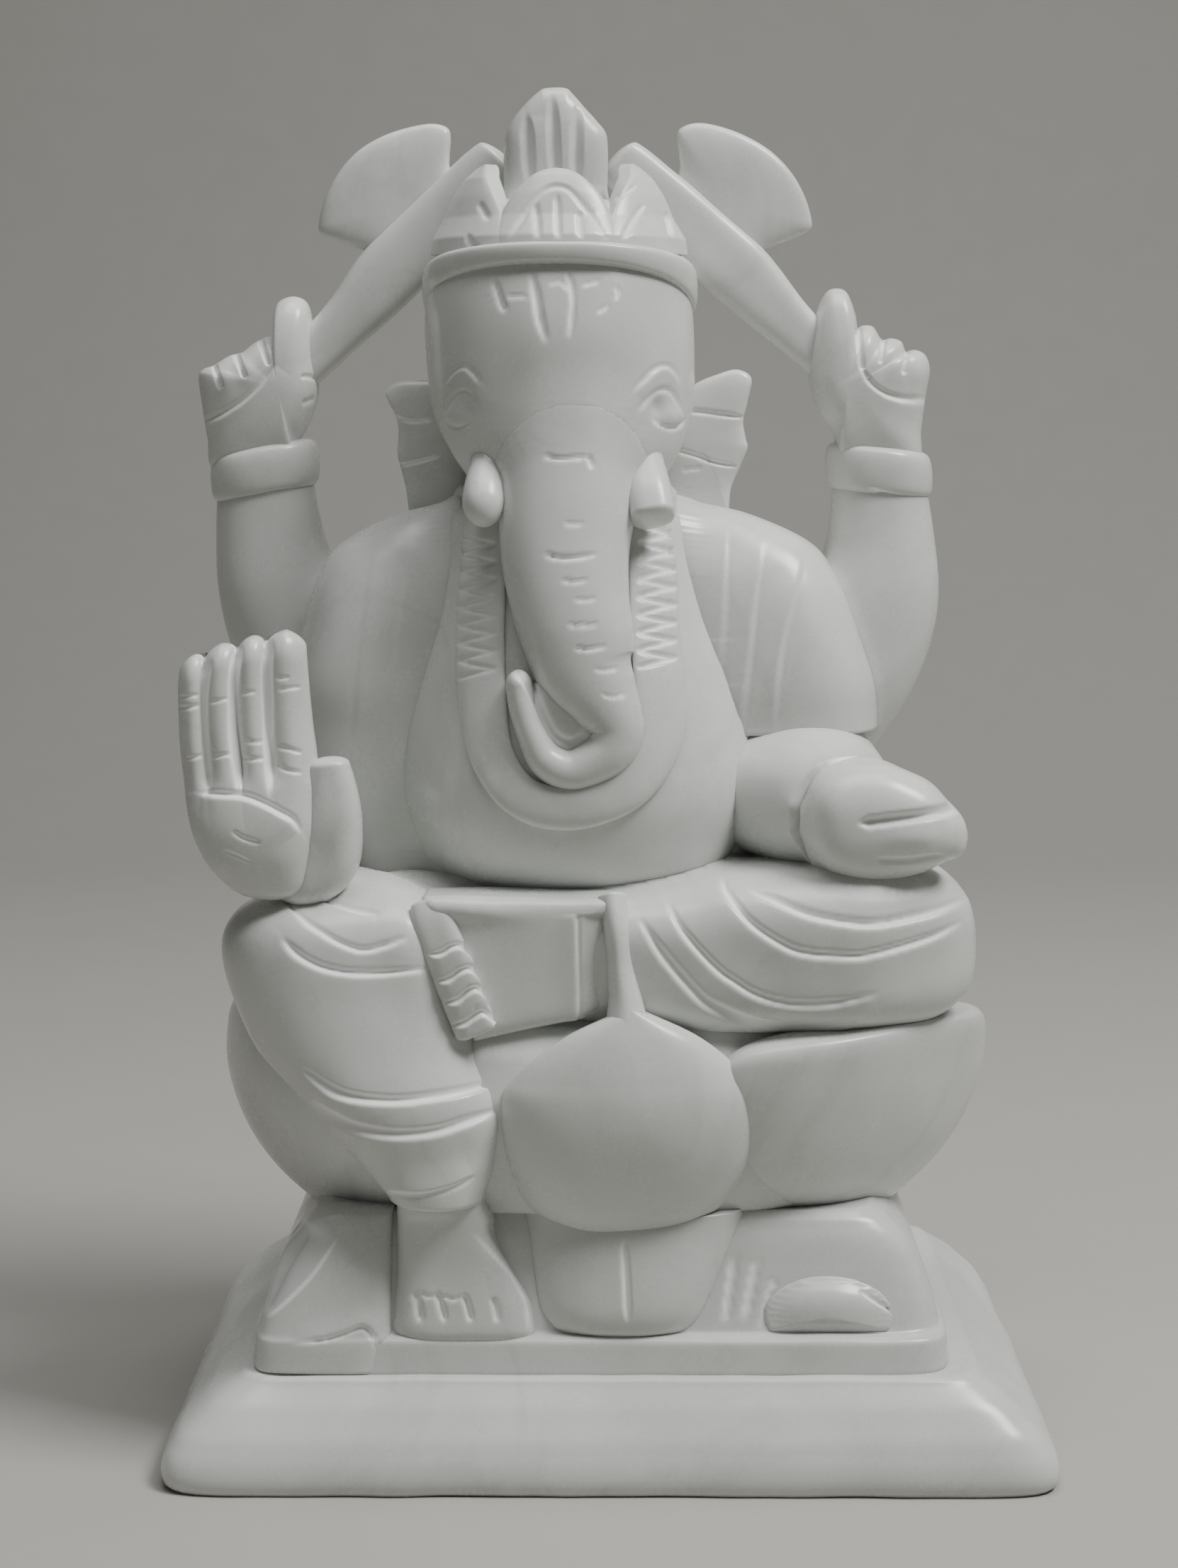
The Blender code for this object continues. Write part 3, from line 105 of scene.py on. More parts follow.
def smooth(rows, count, closed=False):
    """Rows of a Catmull-Rom curve through the given rows: cubic spans whose slopes join the neighbours."""
    keys = np.asarray(rows, float)
    if closed:
        padded = np.vstack([keys[-1:], keys, keys[:2]])
    else:
        padded = np.vstack([2 * keys[0] - keys[1], keys, 2 * keys[-1] - keys[-2]])
    spans = len(padded) - 3
    at = np.linspace(0, spans, count, endpoint=not closed)
    span = np.minimum(at.astype(int), spans - 1)
    t = (at - span)[:, None]
    a, b, c, d = (padded[span + k] for k in range(4))
    return 0.5 * (2 * b + (c - a) * t + (2 * a - 5 * b + 4 * c - d) * t**2 + (3 * b - a - 3 * c + d) * t**3)


def straight(rows, count):
    """Rows at even distances along straight spans between the given rows."""
    keys = np.asarray(rows, float)
    length = np.concatenate([[0], np.cumsum(np.linalg.norm(np.diff(keys, axis=0), axis=1))])
    at = np.linspace(0, length[-1], count)
    return np.stack([np.interp(at, length, column) for column in keys.T], axis=1)


def ease(value, low, high):
    """0 below low, 1 above high, and a smooth S between them."""
    t = np.clip((value - low) / (high - low), 0, 1)
    return t * t * (3 - 2 * t)


def turned(columns, focus):
    """Angles round a section from -pi to pi, closer together in front: pi ((1 - focus) t + focus t^3)."""
    t = np.linspace(-1, 1, columns, endpoint=False)
    return math.pi * ((1 - focus) * t + focus * t**3)


def oval(angle, half_side, half_front, squareness):
    """Side and front of a superellipse at an angle from the front, by its polar radius."""
    side, front = np.sin(angle), np.cos(angle)
    reach = np.abs(side / half_side) ** squareness + np.abs(front / half_front) ** squareness
    reach = reach ** (-1 / squareness)
    return reach * side, reach * front


# Forms


class Form:
    """A volume of oval sections along stations (x, y, z, half_side, half_front).

    Sections lie level ("level"), upright across X ("upright"), or square to the path
    ("path") with their front towards face.  A level section may tilt down to the back
    and lean down to the left.
    """

    def __init__(self, rows, lie="level", squareness=2.2, tilt=0.0, lean=0.0, spans=smooth, dome=(0, 0), face=(0, -1, 0)):
        self.rows = rows
        self.lie = lie
        self.squareness = squareness
        self.tilt = tilt
        self.lean = lean
        self.spans = spans
        self.dome = dome
        self.face = np.array(face, float)

    def stations(self, spacing):
        """Stations at even steps along the form, its ends rounded like quarter ellipses where it is domed."""
        dense = self.spans(self.rows, 500)
        steps = np.linalg.norm(np.diff(dense, axis=0), axis=1)
        length = np.concatenate([[0], np.cumsum(steps)])
        count = max(int(length[-1] / spacing), 8)
        start, end = self.dome
        share = np.linspace(0, 1, count)
        swell = np.ones(count)
        if start:
            turn = np.linspace(0, math.pi / 2, max(int(1.6 * start * count), 8))
            share = np.concatenate([start * (1 - np.cos(turn)), share[share > start]])
            swell = np.concatenate([np.sin(turn), np.ones(len(share) - len(turn))])
        if end:
            turn = np.linspace(math.pi / 2, 0, max(int(1.6 * end * count), 8))
            kept = share < 1 - end
            share = np.concatenate([share[kept], 1 - end * (1 - np.cos(turn))])
            swell = np.concatenate([swell[kept], np.sin(turn)])
        rows = np.stack([np.interp(share * length[-1], length, column) for column in dense.T], axis=1)
        rows[:, 3:5] *= np.maximum(swell, 0.01)[:, None]
        return rows

    def frames(self, rows):
        """Unit vectors to the side and to the front of each section."""
        count = len(rows)
        if self.lie == "level":
            return np.tile([1.0, 0, 0], (count, 1)), np.tile([0, -1.0, 0], (count, 1))
        if self.lie == "upright":
            return np.tile([0, 0, 1.0], (count, 1)), np.tile([0, -1.0, 0], (count, 1))
        tangent = np.gradient(rows[:, :3], axis=0)
        side = np.cross(tangent, self.face)
        side /= np.linalg.norm(side, axis=1, keepdims=True)
        front = np.cross(side, tangent)
        front /= np.linalg.norm(front, axis=1, keepdims=True)
        return side, front

    def grid(self, spacing, focus=0.0):
        """Points of the surface: one row for each station, one column for each angle round it."""
        rows = self.stations(spacing)
        side, front = self.frames(rows)
        girth = 2 * math.pi * np.sqrt((rows[:, 3] ** 2 + rows[:, 4] ** 2).max() / 2)
        columns = max(int(girth * (1 - focus) / spacing), 16)
        u, v = oval(turned(columns, focus)[None, :], rows[:, 3:4], rows[:, 4:5], self.squareness)
        points = rows[:, None, :3] + u[..., None] * side[:, None] + v[..., None] * front[:, None]
        points[..., 2] += self.tilt * v + self.lean * u
        return points

    def front(self, x, z):
        """Y of a level form's front at a place across it and a height."""
        rows = self.stations(1.0)
        centre_x, centre_y, half_side, half_front = (np.interp(z, rows[:, 2], rows[:, k]) for k in (0, 1, 3, 4))
        share = np.minimum(np.abs(x - centre_x) / half_side, 0.97)
        return centre_y - half_front * (1 - share**self.squareness) ** (1 / self.squareness)

    def gap(self, points):
        """Distance of points from the surface, measured across the section nearest to each."""
        rows = self.stations(1.0)
        side, front = self.frames(rows)
        along = {"level": 2, "upright": 0}.get(self.lie)
        if along is None:
            nearest = nearest_rows(points, rows[:, :3])
        else:
            order = np.argsort(rows[:, along])
            at = np.searchsorted(rows[order, along], points[:, along])
            nearest = order[np.clip(at, 0, len(rows) - 1)]
        offset = points - rows[nearest, :3]
        u = np.einsum("ij,ij->i", offset, side[nearest])
        v = np.einsum("ij,ij->i", offset, front[nearest])
        n = self.squareness
        scale = (np.abs(u / rows[nearest, 3]) ** n + np.abs(v / rows[nearest, 4]) ** n) ** (1 / n)
        across = np.hypot(u, v)
        outside = across - across / np.maximum(scale, 1e-6)
        beyond = np.sqrt(np.maximum((offset**2).sum(1) - across**2, 0))
        return np.hypot(outside, np.maximum(beyond - 1.0, 0))


def nearest_rows(points, path):
    """Index of the path point nearest to each point, in batches that keep memory small."""
    found = [((block[:, None] - path[None]) ** 2).sum(2).argmin(1) for block in np.array_split(points, 40)]
    return np.concatenate(found)


def lens(outline, middle_y, thickness, squareness=5.0, spacing=FINE, centre=None):
    """A plate with rounded edges: an outline in X and Z shrunk towards its centre, front and back.

    From the front's centre to the back's, the reach is |cos a|^(2/n) and the depth |sin a|^(2/n).
    """
    outline = np.asarray(outline, float)
    centre = outline.mean(0) if centre is None else np.array(centre, float)
    scale = np.array([np.linalg.norm(outline - centre, axis=1).max(), thickness / 2])
    angle = np.linspace(math.pi / 2, -math.pi / 2, 3000)
    reach = np.abs(np.cos(angle)) ** (2 / squareness)
    depth = np.sign(np.sin(angle)) * np.abs(np.sin(angle)) ** (2 / squareness)
    count = int(2 * scale.sum() / spacing)
    reach, depth = straight(np.stack([reach, depth], axis=1) * scale, count)[1:-1].T / scale[:, None]
    flat = centre + reach[:, None, None] * (outline - centre)[None]
    y = np.broadcast_to((middle_y - depth * thickness / 2)[:, None], flat.shape[:2])
    return np.stack([flat[..., 0], y, flat[..., 1]], axis=2)


# Carving


def photo_pixels(points):
    """Where the photograph's camera sees points of the idol, in pixels from the top left."""
    turn = np.array(Euler(CAMERA_TURN).to_matrix())
    seen = (points * PART - np.array(CAMERA_PLACE)) @ turn
    across = PHOTO_WIDTH / 2 - PHOTO_FOCUS * seen[:, 0] / seen[:, 2]
    down = PHOTO_HEIGHT / 2 + PHOTO_FOCUS * seen[:, 1] / seen[:, 2]
    return np.stack([across, down], axis=1)


def grid_normals(points):
    """Unit normals of a grid, from the cross product of its steps along the columns and the rows."""
    round_step = np.roll(points, -1, axis=1) - np.roll(points, 1, axis=1)
    along_step = np.gradient(points, axis=0)
    normals = np.cross(along_step, round_step)
    middle = points.mean((0, 1))
    size = np.linalg.norm(normals, axis=2, keepdims=True)
    normals = normals / np.maximum(size, 1e-12)
    inward = ((points - middle) * normals * size).sum() < 0
    return -normals if inward else normals


def path_distance(pixels, path):
    """Distance of pixels from a line, the share of its length at the nearest place, and 1 on its right or -1."""
    start, step = path[:-1], np.diff(path, axis=0)
    length = (step**2).sum(1)
    offset = pixels[:, None] - start[None]
    t = np.clip((offset * step[None]).sum(2) / length, 0, 1)
    distance = np.linalg.norm(offset - t[..., None] * step[None], axis=2)
    nearest = distance.argmin(1)
    row = np.arange(len(pixels))
    along, out = step[nearest], offset[row, nearest]
    side = np.sign(along[:, 0] * out[:, 1] - along[:, 1] * out[:, 0])
    return distance[row, nearest], (nearest + t[row, nearest]) / len(step), side


def cut(width, depth, *points, taper=0.16, lip=0.0, bevel=0.0, white=1.0):
    """A chisel line: half width in pixels, depth in parts, and the pixels that it passes through.

    lip raises the stone on the line's right like a fold's edge, and bevel slopes it away there by as
    many parts for each pixel; both are on the line's left where they are negative.  white is how bare
    the line leaves the stone.
    """
    look = {"taper": taper, "lip": lip, "bevel": bevel, "white": white}
    return {"width": width, "depth": depth, "points": points, **look}


def incised(pixels, lines):
    """Depth of the chisel lines at pixels, and how bare of polish they leave the stone.

    A line's section is a rounded V, 1 - (d / width)^1.5, beside a lip that fades as exp(-(d / 5 width)^2)
    or a bevel that deepens with d, and all run out towards its ends.
    """
    depth = np.zeros(len(pixels))
    bare = np.zeros(len(pixels))
    shaped = np.zeros(len(pixels))
    for line in lines:
        path = smooth(line["points"], 8 * len(line["points"]))
        reach = 120.0 if line["bevel"] else line["width"] * (12.0 if line["lip"] else 1.6)
        near = np.all((pixels > path.min(0) - reach) & (pixels < path.max(0) + reach), axis=1).nonzero()[0]
        if not len(near):
            continue
        distance, share, side = path_distance(pixels[near], path)
        end = np.sqrt(np.clip(np.minimum(share, 1 - share) / line["taper"], 0.02, 1))
        wall = np.clip(1 - (distance / (line["width"] * (0.35 + 0.65 * end))) ** 1.5, 0, 1)
        dug = line["depth"] * end * wall
        depth[near] = np.maximum(depth[near], dug)
        bare[near] = np.maximum(bare[near], line["white"] * ease(wall, 0.0, 0.7) * end)
        if line["lip"]:
            raised = ease(side * np.sign(line["lip"]) * distance, -1.0, line["width"])
            shaped[near] -= abs(line["lip"]) * end * raised * np.exp(-((distance / (5 * line["width"])) ** 2))
        if line["bevel"]:
            beside = np.maximum(side * np.sign(line["bevel"]) * distance, 0)
            shaped[near] += abs(line["bevel"]) * np.minimum(beside, 90.0) * ease(end, 0.15, 1.0)
    return depth + shaped, bare


def swollen(pixels, dabs):
    """Soft swellings and hollows: bells of (x, y, half_x, half_y, height, lean) in pixels and parts."""
    lift = np.zeros(len(pixels))
    for x, y, half_x, half_y, height, lean in dabs:
        c, s = math.cos(math.radians(lean)), math.sin(math.radians(lean))
        dx, dy = pixels[:, 0] - x, pixels[:, 1] - y
        u, v = (c * dx + s * dy) / half_x, (c * dy - s * dx) / half_y
        lift += height * np.exp(-(u * u + v * v))
    return lift


def waver(points):
    """The carver's unevenness: a sum of slow waves in fixed directions, from 9 to 30 parts long."""
    rng = np.random.RandomState(7)
    lift = np.zeros(len(points))
    for length in np.linspace(9, 30, 14):
        direction = rng.normal(size=3)
        direction *= 2 * math.pi / (length * np.linalg.norm(direction))
        lift += np.sin(points @ direction + rng.uniform(0, 6)) * length / 30
    return lift / 3


def joined(points, joins):
    """Swelling that melts a form into its neighbours: (r - d)^2 / 4r within r of their surface."""
    lift = np.zeros(len(points))
    for form, radius in joins:
        gap = np.abs(form.gap(points))
        lift += np.maximum(radius - gap, 0) ** 2 / (4 * radius)
    return lift


def carved(grid, lines, dabs, joins, carving):
    """A grid with its joins, swellings, waver and chisel lines, and the bare stone of each point."""
    shape = grid.shape[:2]
    normals = grid_normals(grid)
    if joins:
        grid = grid + normals * joined(grid.reshape(-1, 3), joins).reshape(shape)[..., None]
    normals = grid_normals(grid)
    flat = grid.reshape(-1, 3)
    pixels = photo_pixels(flat)
    view = flat * PART - np.array(CAMERA_PLACE)
    view /= np.linalg.norm(view, axis=1, keepdims=True)
    facing = ease(-(view * normals.reshape(-1, 3)).sum(1), 0.02, 0.30)
    depth, bare = incised(pixels, lines)
    lift = facing * (swollen(pixels, dabs) - depth * carving.groove_depth)
    lift += waver(flat) * carving.hand_waver / PART
    grid = grid + normals * lift.reshape(shape)[..., None]
    grid[..., 2] = np.maximum(grid[..., 2], 0.0)
    return grid, (bare * facing).reshape(shape)


def grid_faces(rows, columns, first):
    """Corner numbers of a grid's quads, closed round its columns, and of the fans that close its two ends."""
    index = first + np.arange(rows * columns).reshape(rows, columns)
    beside = np.roll(index, -1, axis=1)
    quads = np.stack([index[:-1], beside[:-1], beside[1:], index[1:]], axis=2).reshape(-1, 4)
    low = np.full(columns, first + rows * columns)
    fan_low = np.stack([low, beside[0], index[0]], axis=1)
    fan_high = np.stack([low + 1, index[-1], beside[-1]], axis=1)
    return quads, np.concatenate([fan_low, fan_high])


def volume(points, quads, triangles):
    """Signed volume inside the faces, which is negative where they point inwards."""
    corners = np.concatenate([quads[:, [0, 1, 2]], quads[:, [0, 2, 3]], triangles])
    a, b, c = (points[corners[:, k]] for k in range(3))
    return (a * np.cross(b, c)).sum() / 6


def mesh_of(name, grids, bares):
    """One mesh of several closed grids, its faces pointing out, with the bare stone as an attribute."""
    points, bare, quads, triangles = [], [], [], []
    first = 0
    for grid, mask in zip(grids, bares):
        rows, columns = mask.shape
        ends = np.stack([grid[0].mean(0), grid[-1].mean(0)])
        flat = np.concatenate([grid.reshape(-1, 3), ends])
        four, three = grid_faces(rows, columns, 0)
        if volume(flat - flat.mean(0), four, three) < 0:
            four, three = four[:, ::-1], three[:, ::-1]
        points.append(flat)
        bare.append(np.concatenate([mask.ravel(), [mask[0].mean(), mask[-1].mean()]]))
        quads.append(four + first)
        triangles.append(three + first)
        first += len(flat)
    points, quads, triangles = np.concatenate(points), np.concatenate(quads), np.concatenate(triangles)
    mesh = bpy.data.meshes.new(name)
    mesh.vertices.add(len(points))
    mesh.vertices.foreach_set("co", (points * PART).astype(np.float32).ravel())
    mesh.loops.add(quads.size + triangles.size)
    mesh.loops.foreach_set("vertex_index", np.concatenate([quads.ravel(), triangles.ravel()]).astype(np.int32))
    starts = np.concatenate([np.arange(len(quads)) * 4, quads.size + np.arange(len(triangles)) * 3])
    mesh.polygons.add(len(starts))
    mesh.polygons.foreach_set("loop_start", starts.astype(np.int32))
    mesh.update(calc_edges=True)
    mesh.shade_smooth()
    attribute = mesh.attributes.new("chisel", "FLOAT", "POINT")
    attribute.data.foreach_set("value", np.concatenate(bare).astype(np.float32))
    return mesh


def carve(context, node, grids, lines=(), dabs=(), joins=()):
    """Makes the carved piece of a CAD node from its grids, in marble, and puts it in the node's place."""
    carving = context.scene.idol_carving
    work = [carved(grid, lines, dabs, joins, carving) for grid in grids]
    mesh = mesh_of("carved_" + node, [grid for grid, _ in work], [bare for _, bare in work])
    piece = bpy.data.objects.new("carved_" + node, mesh)
    context.scene.collection.objects.link(piece)
    mesh.materials.append(marble(context.scene.idol_marble))
    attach(piece, "root")
    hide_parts(node)
    return piece


# Marble


class Reading:
    """One output of a shader node, so that shader maths reads as a Python expression."""

    def __init__(self, shader, output):
        self.shader = shader
        self.output = output

    def worked(self, operation, first, second):
        return self.shader.add("ShaderNodeMath", {"operation": operation}, {0: first, 1: second})

    def __add__(self, other):
        return self.worked("ADD", self, other)

    def __sub__(self, other):
        return self.worked("SUBTRACT", self, other)

    def __rsub__(self, other):
        return self.worked("SUBTRACT", other, self)

    def __mul__(self, other):
        return self.worked("MULTIPLY", self, other)

    def __pow__(self, other):
        return self.worked("POWER", self, other)

    def size(self):
        return self.worked("ABSOLUTE", self, 0.0)

    __radd__ = __add__
    __rmul__ = __mul__


class Shader:
    """A material's node tree."""

    def __init__(self, material):
        material.use_nodes = True
        self.tree = material.node_tree
        self.surface = self.tree.nodes["Principled BSDF"]

    def add(self, kind, settings, inputs, output=0):
        """Adds a node of a type: its settings first, then the values or links of its sockets."""
        node = self.tree.nodes.new(kind)
        for setting, value in settings.items():
            setattr(node, setting, value)
        for socket, value in inputs.items():
            self.feed(node.inputs[socket], value)
        return Reading(self, node.outputs[output])

    def feed(self, socket, value):
        if isinstance(value, Reading):
            self.tree.links.new(value.output, socket)
        else:
            socket.default_value = value

    def mixed(self, factor, first, second):
        return self.add("ShaderNodeMix", {"data_type": "RGBA"}, {0: factor, 6: first, 7: second}, 2)

    def noise(self, place, scale, detail=2.0, roughness=0.5, distortion=0.0):
        values = {"Vector": place, "Scale": scale, "Detail": detail, "Roughness": roughness, "Distortion": distortion}
        return self.add("ShaderNodeTexNoise", {}, values)

    def between(self, value, low, high):
        return self.add("ShaderNodeMapRange", {"interpolation_type": "SMOOTHSTEP"}, {0: value, 1: low, 2: high})


def marble(look):
    """Polished white marble with slow clouds, faint veins and crystal grain, bare and whiter where it is cut."""
    found = bpy.data.materials.get("idol_marble")
    if found:
        return found
    material = bpy.data.materials.new("idol_marble")
    shader = Shader(material)
    place = shader.add("ShaderNodeTexCoord", {}, {}, "Object")
    chisel = shader.add("ShaderNodeAttribute", {"attribute_name": "chisel"}, {}, "Fac")
    clouds = shader.between(shader.noise(place, 26.0, 5.0, 0.55), 0.32, 0.70)
    drift = shader.noise(place, 13.0, 6.0, 0.58, 1.2)
    vein = 1.0 - shader.between((drift - 0.5).size(), 0.0, 0.035)
    grain = shader.noise(place, 1500.0, 3.0, 0.6)
    smears = shader.noise(place, 95.0, 4.0, 0.6)
    stone = shader.mixed(clouds, (*look.clear_colour, 1.0), (*look.cloud_colour, 1.0))
    stone = shader.mixed(vein * 0.30, stone, (*look.vein_colour, 1.0))
    stone = shader.mixed((grain - 0.4) * 0.20, stone, (*look.chisel_colour, 1.0))
    stone = shader.mixed(chisel * 0.85, stone, (*look.chisel_colour, 1.0))
    shader.feed(shader.surface.inputs["Base Color"], stone)
    polish = look.polish + (smears - 0.5) * 0.22 + (grain - 0.5) * 0.08
    rough = polish + chisel * look.chisel_roughness
    shader.feed(shader.surface.inputs["Roughness"], rough)
    height = grain * (0.15 + chisel * 0.85)
    bump = {"Strength": 0.35, "Distance": 0.00012, "Height": height}
    shader.feed(shader.surface.inputs["Normal"], shader.add("ShaderNodeBump", {}, bump))
    shader.surface.inputs["Subsurface Weight"].default_value = look.glow
    shader.surface.inputs["Subsurface Radius"].default_value = (1.0, 0.95, 0.82)
    shader.surface.inputs["Subsurface Scale"].default_value = look.glow_depth
    shader.surface.inputs["IOR"].default_value = 1.49
    return material


# Base and lotus


def base_form():
    low, high = (corner * (1 / PART) for corner in map(Vector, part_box("base_slab")))
    width, depth, height = high - low
    top_width, top_depth = 0.826 * width, 0.835 * depth
    profile = ((0.0, 0.10), (0.05, 0.03), (0.16, 0.0), (0.30, 0.05), (0.50, 0.22), (0.76, 0.60), (0.96, 0.98), (1.0, 1.03))
    rows = [(0, 0, 0, 0.1, 0.1)]
    for rise, share in profile:
        half_width = (width + share * (top_width - width)) / 2
        half_depth = (depth + share * (top_depth - depth)) / 2
        rows.append((0, 0, rise * height, half_width, half_depth))
    rows.append((0, 0, height, 0.1, 0.1))
    return Form(rows, squareness=20.0, spans=straight)


def plinth_form():
    """A ledge along the foot, and a wall that curves in to the lotus."""
    wall = ((23.7, 57.5, 38.4), (28.2, 56.4, 37.4), (34.0, 54.4, 36.0), (38.6, 51.8, 34.8), (41.5, 48.8, 33.4))
    rows = [(17.3, 0.1, 0.1), (17.3, 59.0, 41.8), (22.9, 58.6, 41.2), (23.5, 57.9, 40.5)]
    rows += [*smooth(wall, 24), (43.0, 46.2, 32.0), (43.0, 0.1, 0.1)]
    return Form([(-1.5, 0, z, wide, deep) for z, wide, deep in rows], squareness=14.0, spans=straight)


def cup_half(z):
    """Half width and half depth of the lotus cup's wall: it swells by sin(pi/2 share)^0.75 from foot to rim."""
    share = np.clip((z - 43.0) / 34.0, -0.2, 1.0)
    swell = np.sin(math.pi / 2 * np.minimum(1.0, (share + 0.2) / 0.85)) ** 0.75
    return 46.0 + 16.0 * swell, 30.0 + 11.0 * swell


def cup_form():
    rows = []
    for z in np.linspace(43.2, 63.4, 8):
        half_width, half_depth = cup_half(z)
        rows.append((-1.5, 0, z, float(half_width), float(half_depth)))
    rows += [(-1.5, 0, 70.2, 59.6, 38.6), (-1.5, 0, 75.0, 56.6, 35.6)]
    rows += [(-1.5, 0, 77.0, 52.0, 31.0), (-1.5, 0, 77.2, 40.0, 20.0)]
    return Form(rows, squareness=2.4, spans=straight)


FRONT_PETAL = (
    (0.0, 0.15), (0.025, 0.42), (0.09, 0.68), (0.165, 0.875), (0.29, 0.96), (0.44, 1.0),
    (0.63, 0.99), (0.715, 0.89), (0.80, 0.73), (0.89, 0.49), (0.965, 0.20), (1.0, 0.03),
)
SIDE_PETAL = (
    (0.0, 0.30), (0.06, 0.55), (0.16, 0.76), (0.32, 0.93), (0.50, 1.0),
    (0.70, 1.0), (0.82, 0.94), (0.91, 0.82), (0.97, 0.60), (1.0, 0.22),
)
def petal(outline, angle, spread, height, flare, lean=0.0, spacing=MEDIUM):
    """A petal against the cup: ovals across its width, wrapped round the cup at each height.

    Its thickness falls from the middle to the edges by 1 - s^4, and its tip flares by t^3.
    """
    rows = smooth(outline, int((height + 5.0) / spacing))
    t, width = rows[:, :1], rows[:, 1:]
    z = 38.0 + (height + 5.0) * t
    half_width, half_depth = cup_half(z)
    columns = int(3.6 * math.radians(spread) * 62.0 / spacing)
    across, out = oval(turned(columns, 0.0)[None], 1.0, 1.0, 3.2)
    bulge = 5.4 * (0.45 + 0.55 * width) * (0.50 + 0.50 * (1 - across**4)) + flare * t**3
    reach = np.where(out > 0, out * bulge, out * 3.5)
    turn = np.radians(angle + lean * t**4 + spread * width * across)
    x = -1.5 + (half_width + reach) * np.sin(turn)
    y = -(half_depth + reach) * np.cos(turn)
    return np.stack([x, y, np.broadcast_to(z, x.shape)], axis=2)


PETALS = {
    "front": (FRONT_PETAL, 4.6, 19.8, 36.5, -1.5, 0.0),
    "right": (SIDE_PETAL, 63.0, 41.0, 32.0, 4.0, -12.0),
    "left": (SIDE_PETAL, -63.0, 42.0, 32.0, -0.4, 0.0),
    "rear_right": (SIDE_PETAL, 128.0, 27.0, 28.0, 3.0, 0.0),
    "rear_left": (SIDE_PETAL, -128.0, 27.0, 28.0, 3.0, 0.0),
    "back": (SIDE_PETAL, 180.0, 27.0, 28.0, 3.0, 0.0),
}


def lower_petal_front_form():
    rows = ((1.8, -32.5, 22.9, 5.0, 5.0), (1.8, -32.5, 23.6, 9.8, 7.4), (1.9, -32.5, 25.2, 13.0, 8.6))
    rows += ((2.2, -32.5, 29.0, 14.8, 8.9), (3.2, -31.6, 36.0, 16.6, 8.4), (4.2, -30.4, 43.5, 18.4, 7.6))
    return Form(rows, squareness=2.6)


def lower_petal_left_form():
    """A block on the plinth's corner, upright beside the foot and sloped to the left."""
    rows = []
    for z, left, front in (
        (17.8, -60.0, -42.2), (22.8, -59.6, -42.0), (24.0, -59.2, -41.4), (28.2, -57.9, -40.2),
        (34.0, -55.9, -38.6), (38.6, -53.4, -37.0), (42.4, -49.6, -35.4), (43.4, -45.0, -34.0),
    ):
        right = -36.3
        rows.append(((left + right) / 2, -31.0, z, (right - left) / 2, -31.0 - front))
    return Form(rows, squareness=5.0)


def arch_outline(x, foot, half_width, height):
    """Half an ellipse standing on a level foot."""
    angle = np.linspace(0, math.pi, 90)
    curve = np.stack([x + half_width * np.cos(angle), foot + height * np.sin(angle) ** 0.8], axis=1)
    floor = np.linspace(curve[-1], curve[0], 60)[1:-1]
    return np.concatenate([curve, floor])


# Legs and lap


def left_thigh_form():
    rows = ((-52, -21.5, 86, 3.0, 4.0), (-50, -21.0, 86, 7.5, 9.0), (-44, -19.0, 86, 10.6, 14.0))
    rows += ((-32, -14.5, 86, 11.8, 16.5), (-14, -7.5, 85, 10.8, 16.5))
    return Form(rows, "upright")


def left_shin_form():
    rows = ((-46, -22.5, 97.0, 3.0, 3.0), (-46, -22.5, 96.0, 9.5, 9.0), (-46, -22.5, 92.5, 17.6, 15.9))
    rows += ((-45.2, -22.5, 85, 20.5, 18.5), (-40.3, -26.1, 72, 20.2, 16.9), (-33.6, -30.8, 62.5, 17.6, 13.9))
    rows += ((-30.8, -33.0, 54, 12.8, 11.3), (-29.3, -34.3, 47.6, 8.6, 9.6), (-29.2, -34.4, 46.2, 7.6, 8.8))
    rows += ((-29.2, -34.0, 45.6, 5.0, 6.0),)
    return Form(rows, squareness=2.3)


def left_foot_form():
    rows = ((-24.2, -32, 23.2, 12.4, 9.0), (-24.2, -32, 25, 12.6, 9.4), (-24.4, -32, 29, 11.9, 8.8))
    rows += ((-26.2, -32, 35.5, 9.6, 7.8), (-29.0, -32, 48, 7.0, 7.6))
    return Form(rows, squareness=4.0)


def right_leg_form():
    rows = ((62.3, -17.0, 87, 1.4, 2.6), (61.8, -17.0, 87, 4.8, 7.0), (59.8, -17.0, 87, 9.0, 12.2))
    rows += ((53.3, -17.4, 87.2, 12.9, 17.4), (39.7, -18.0, 87.2, 14.3, 21.5), (23.6, -18.0, 86.6, 14.0, 21.5))
    rows += ((9.3, -18.0, 85.6, 12.6, 20.4), (-4, -18.0, 85.2, 11.2, 19.1), (-14, -17.0, 85, 9.5, 16.0))
    return Form(rows, "upright", squareness=3.5)


def apron_outline():
    corners = ((-30.8, 97.0), (-22.6, 73.0), (-14.0, 75.0), (-4.9, 76.6), (0.8, 78.6), (0.4, 97.0))
    return straight(corners + corners[:1], 220)[:-1]


def sash_form():
    """A band that hangs from the waist, down the shin's edge."""
    rows = ((-29.6, -34.6, 96.4, 3.4, 3.0), (-28.6, -36.6, 92.2, 3.6, 2.8), (-25.3, -37.4, 83.6, 3.6, 2.6))
    rows += ((-21.8, -37.2, 74.6, 3.6, 2.6),)
    return Form(rows, "path", squareness=3.4, dome=(0.05, 0.04))


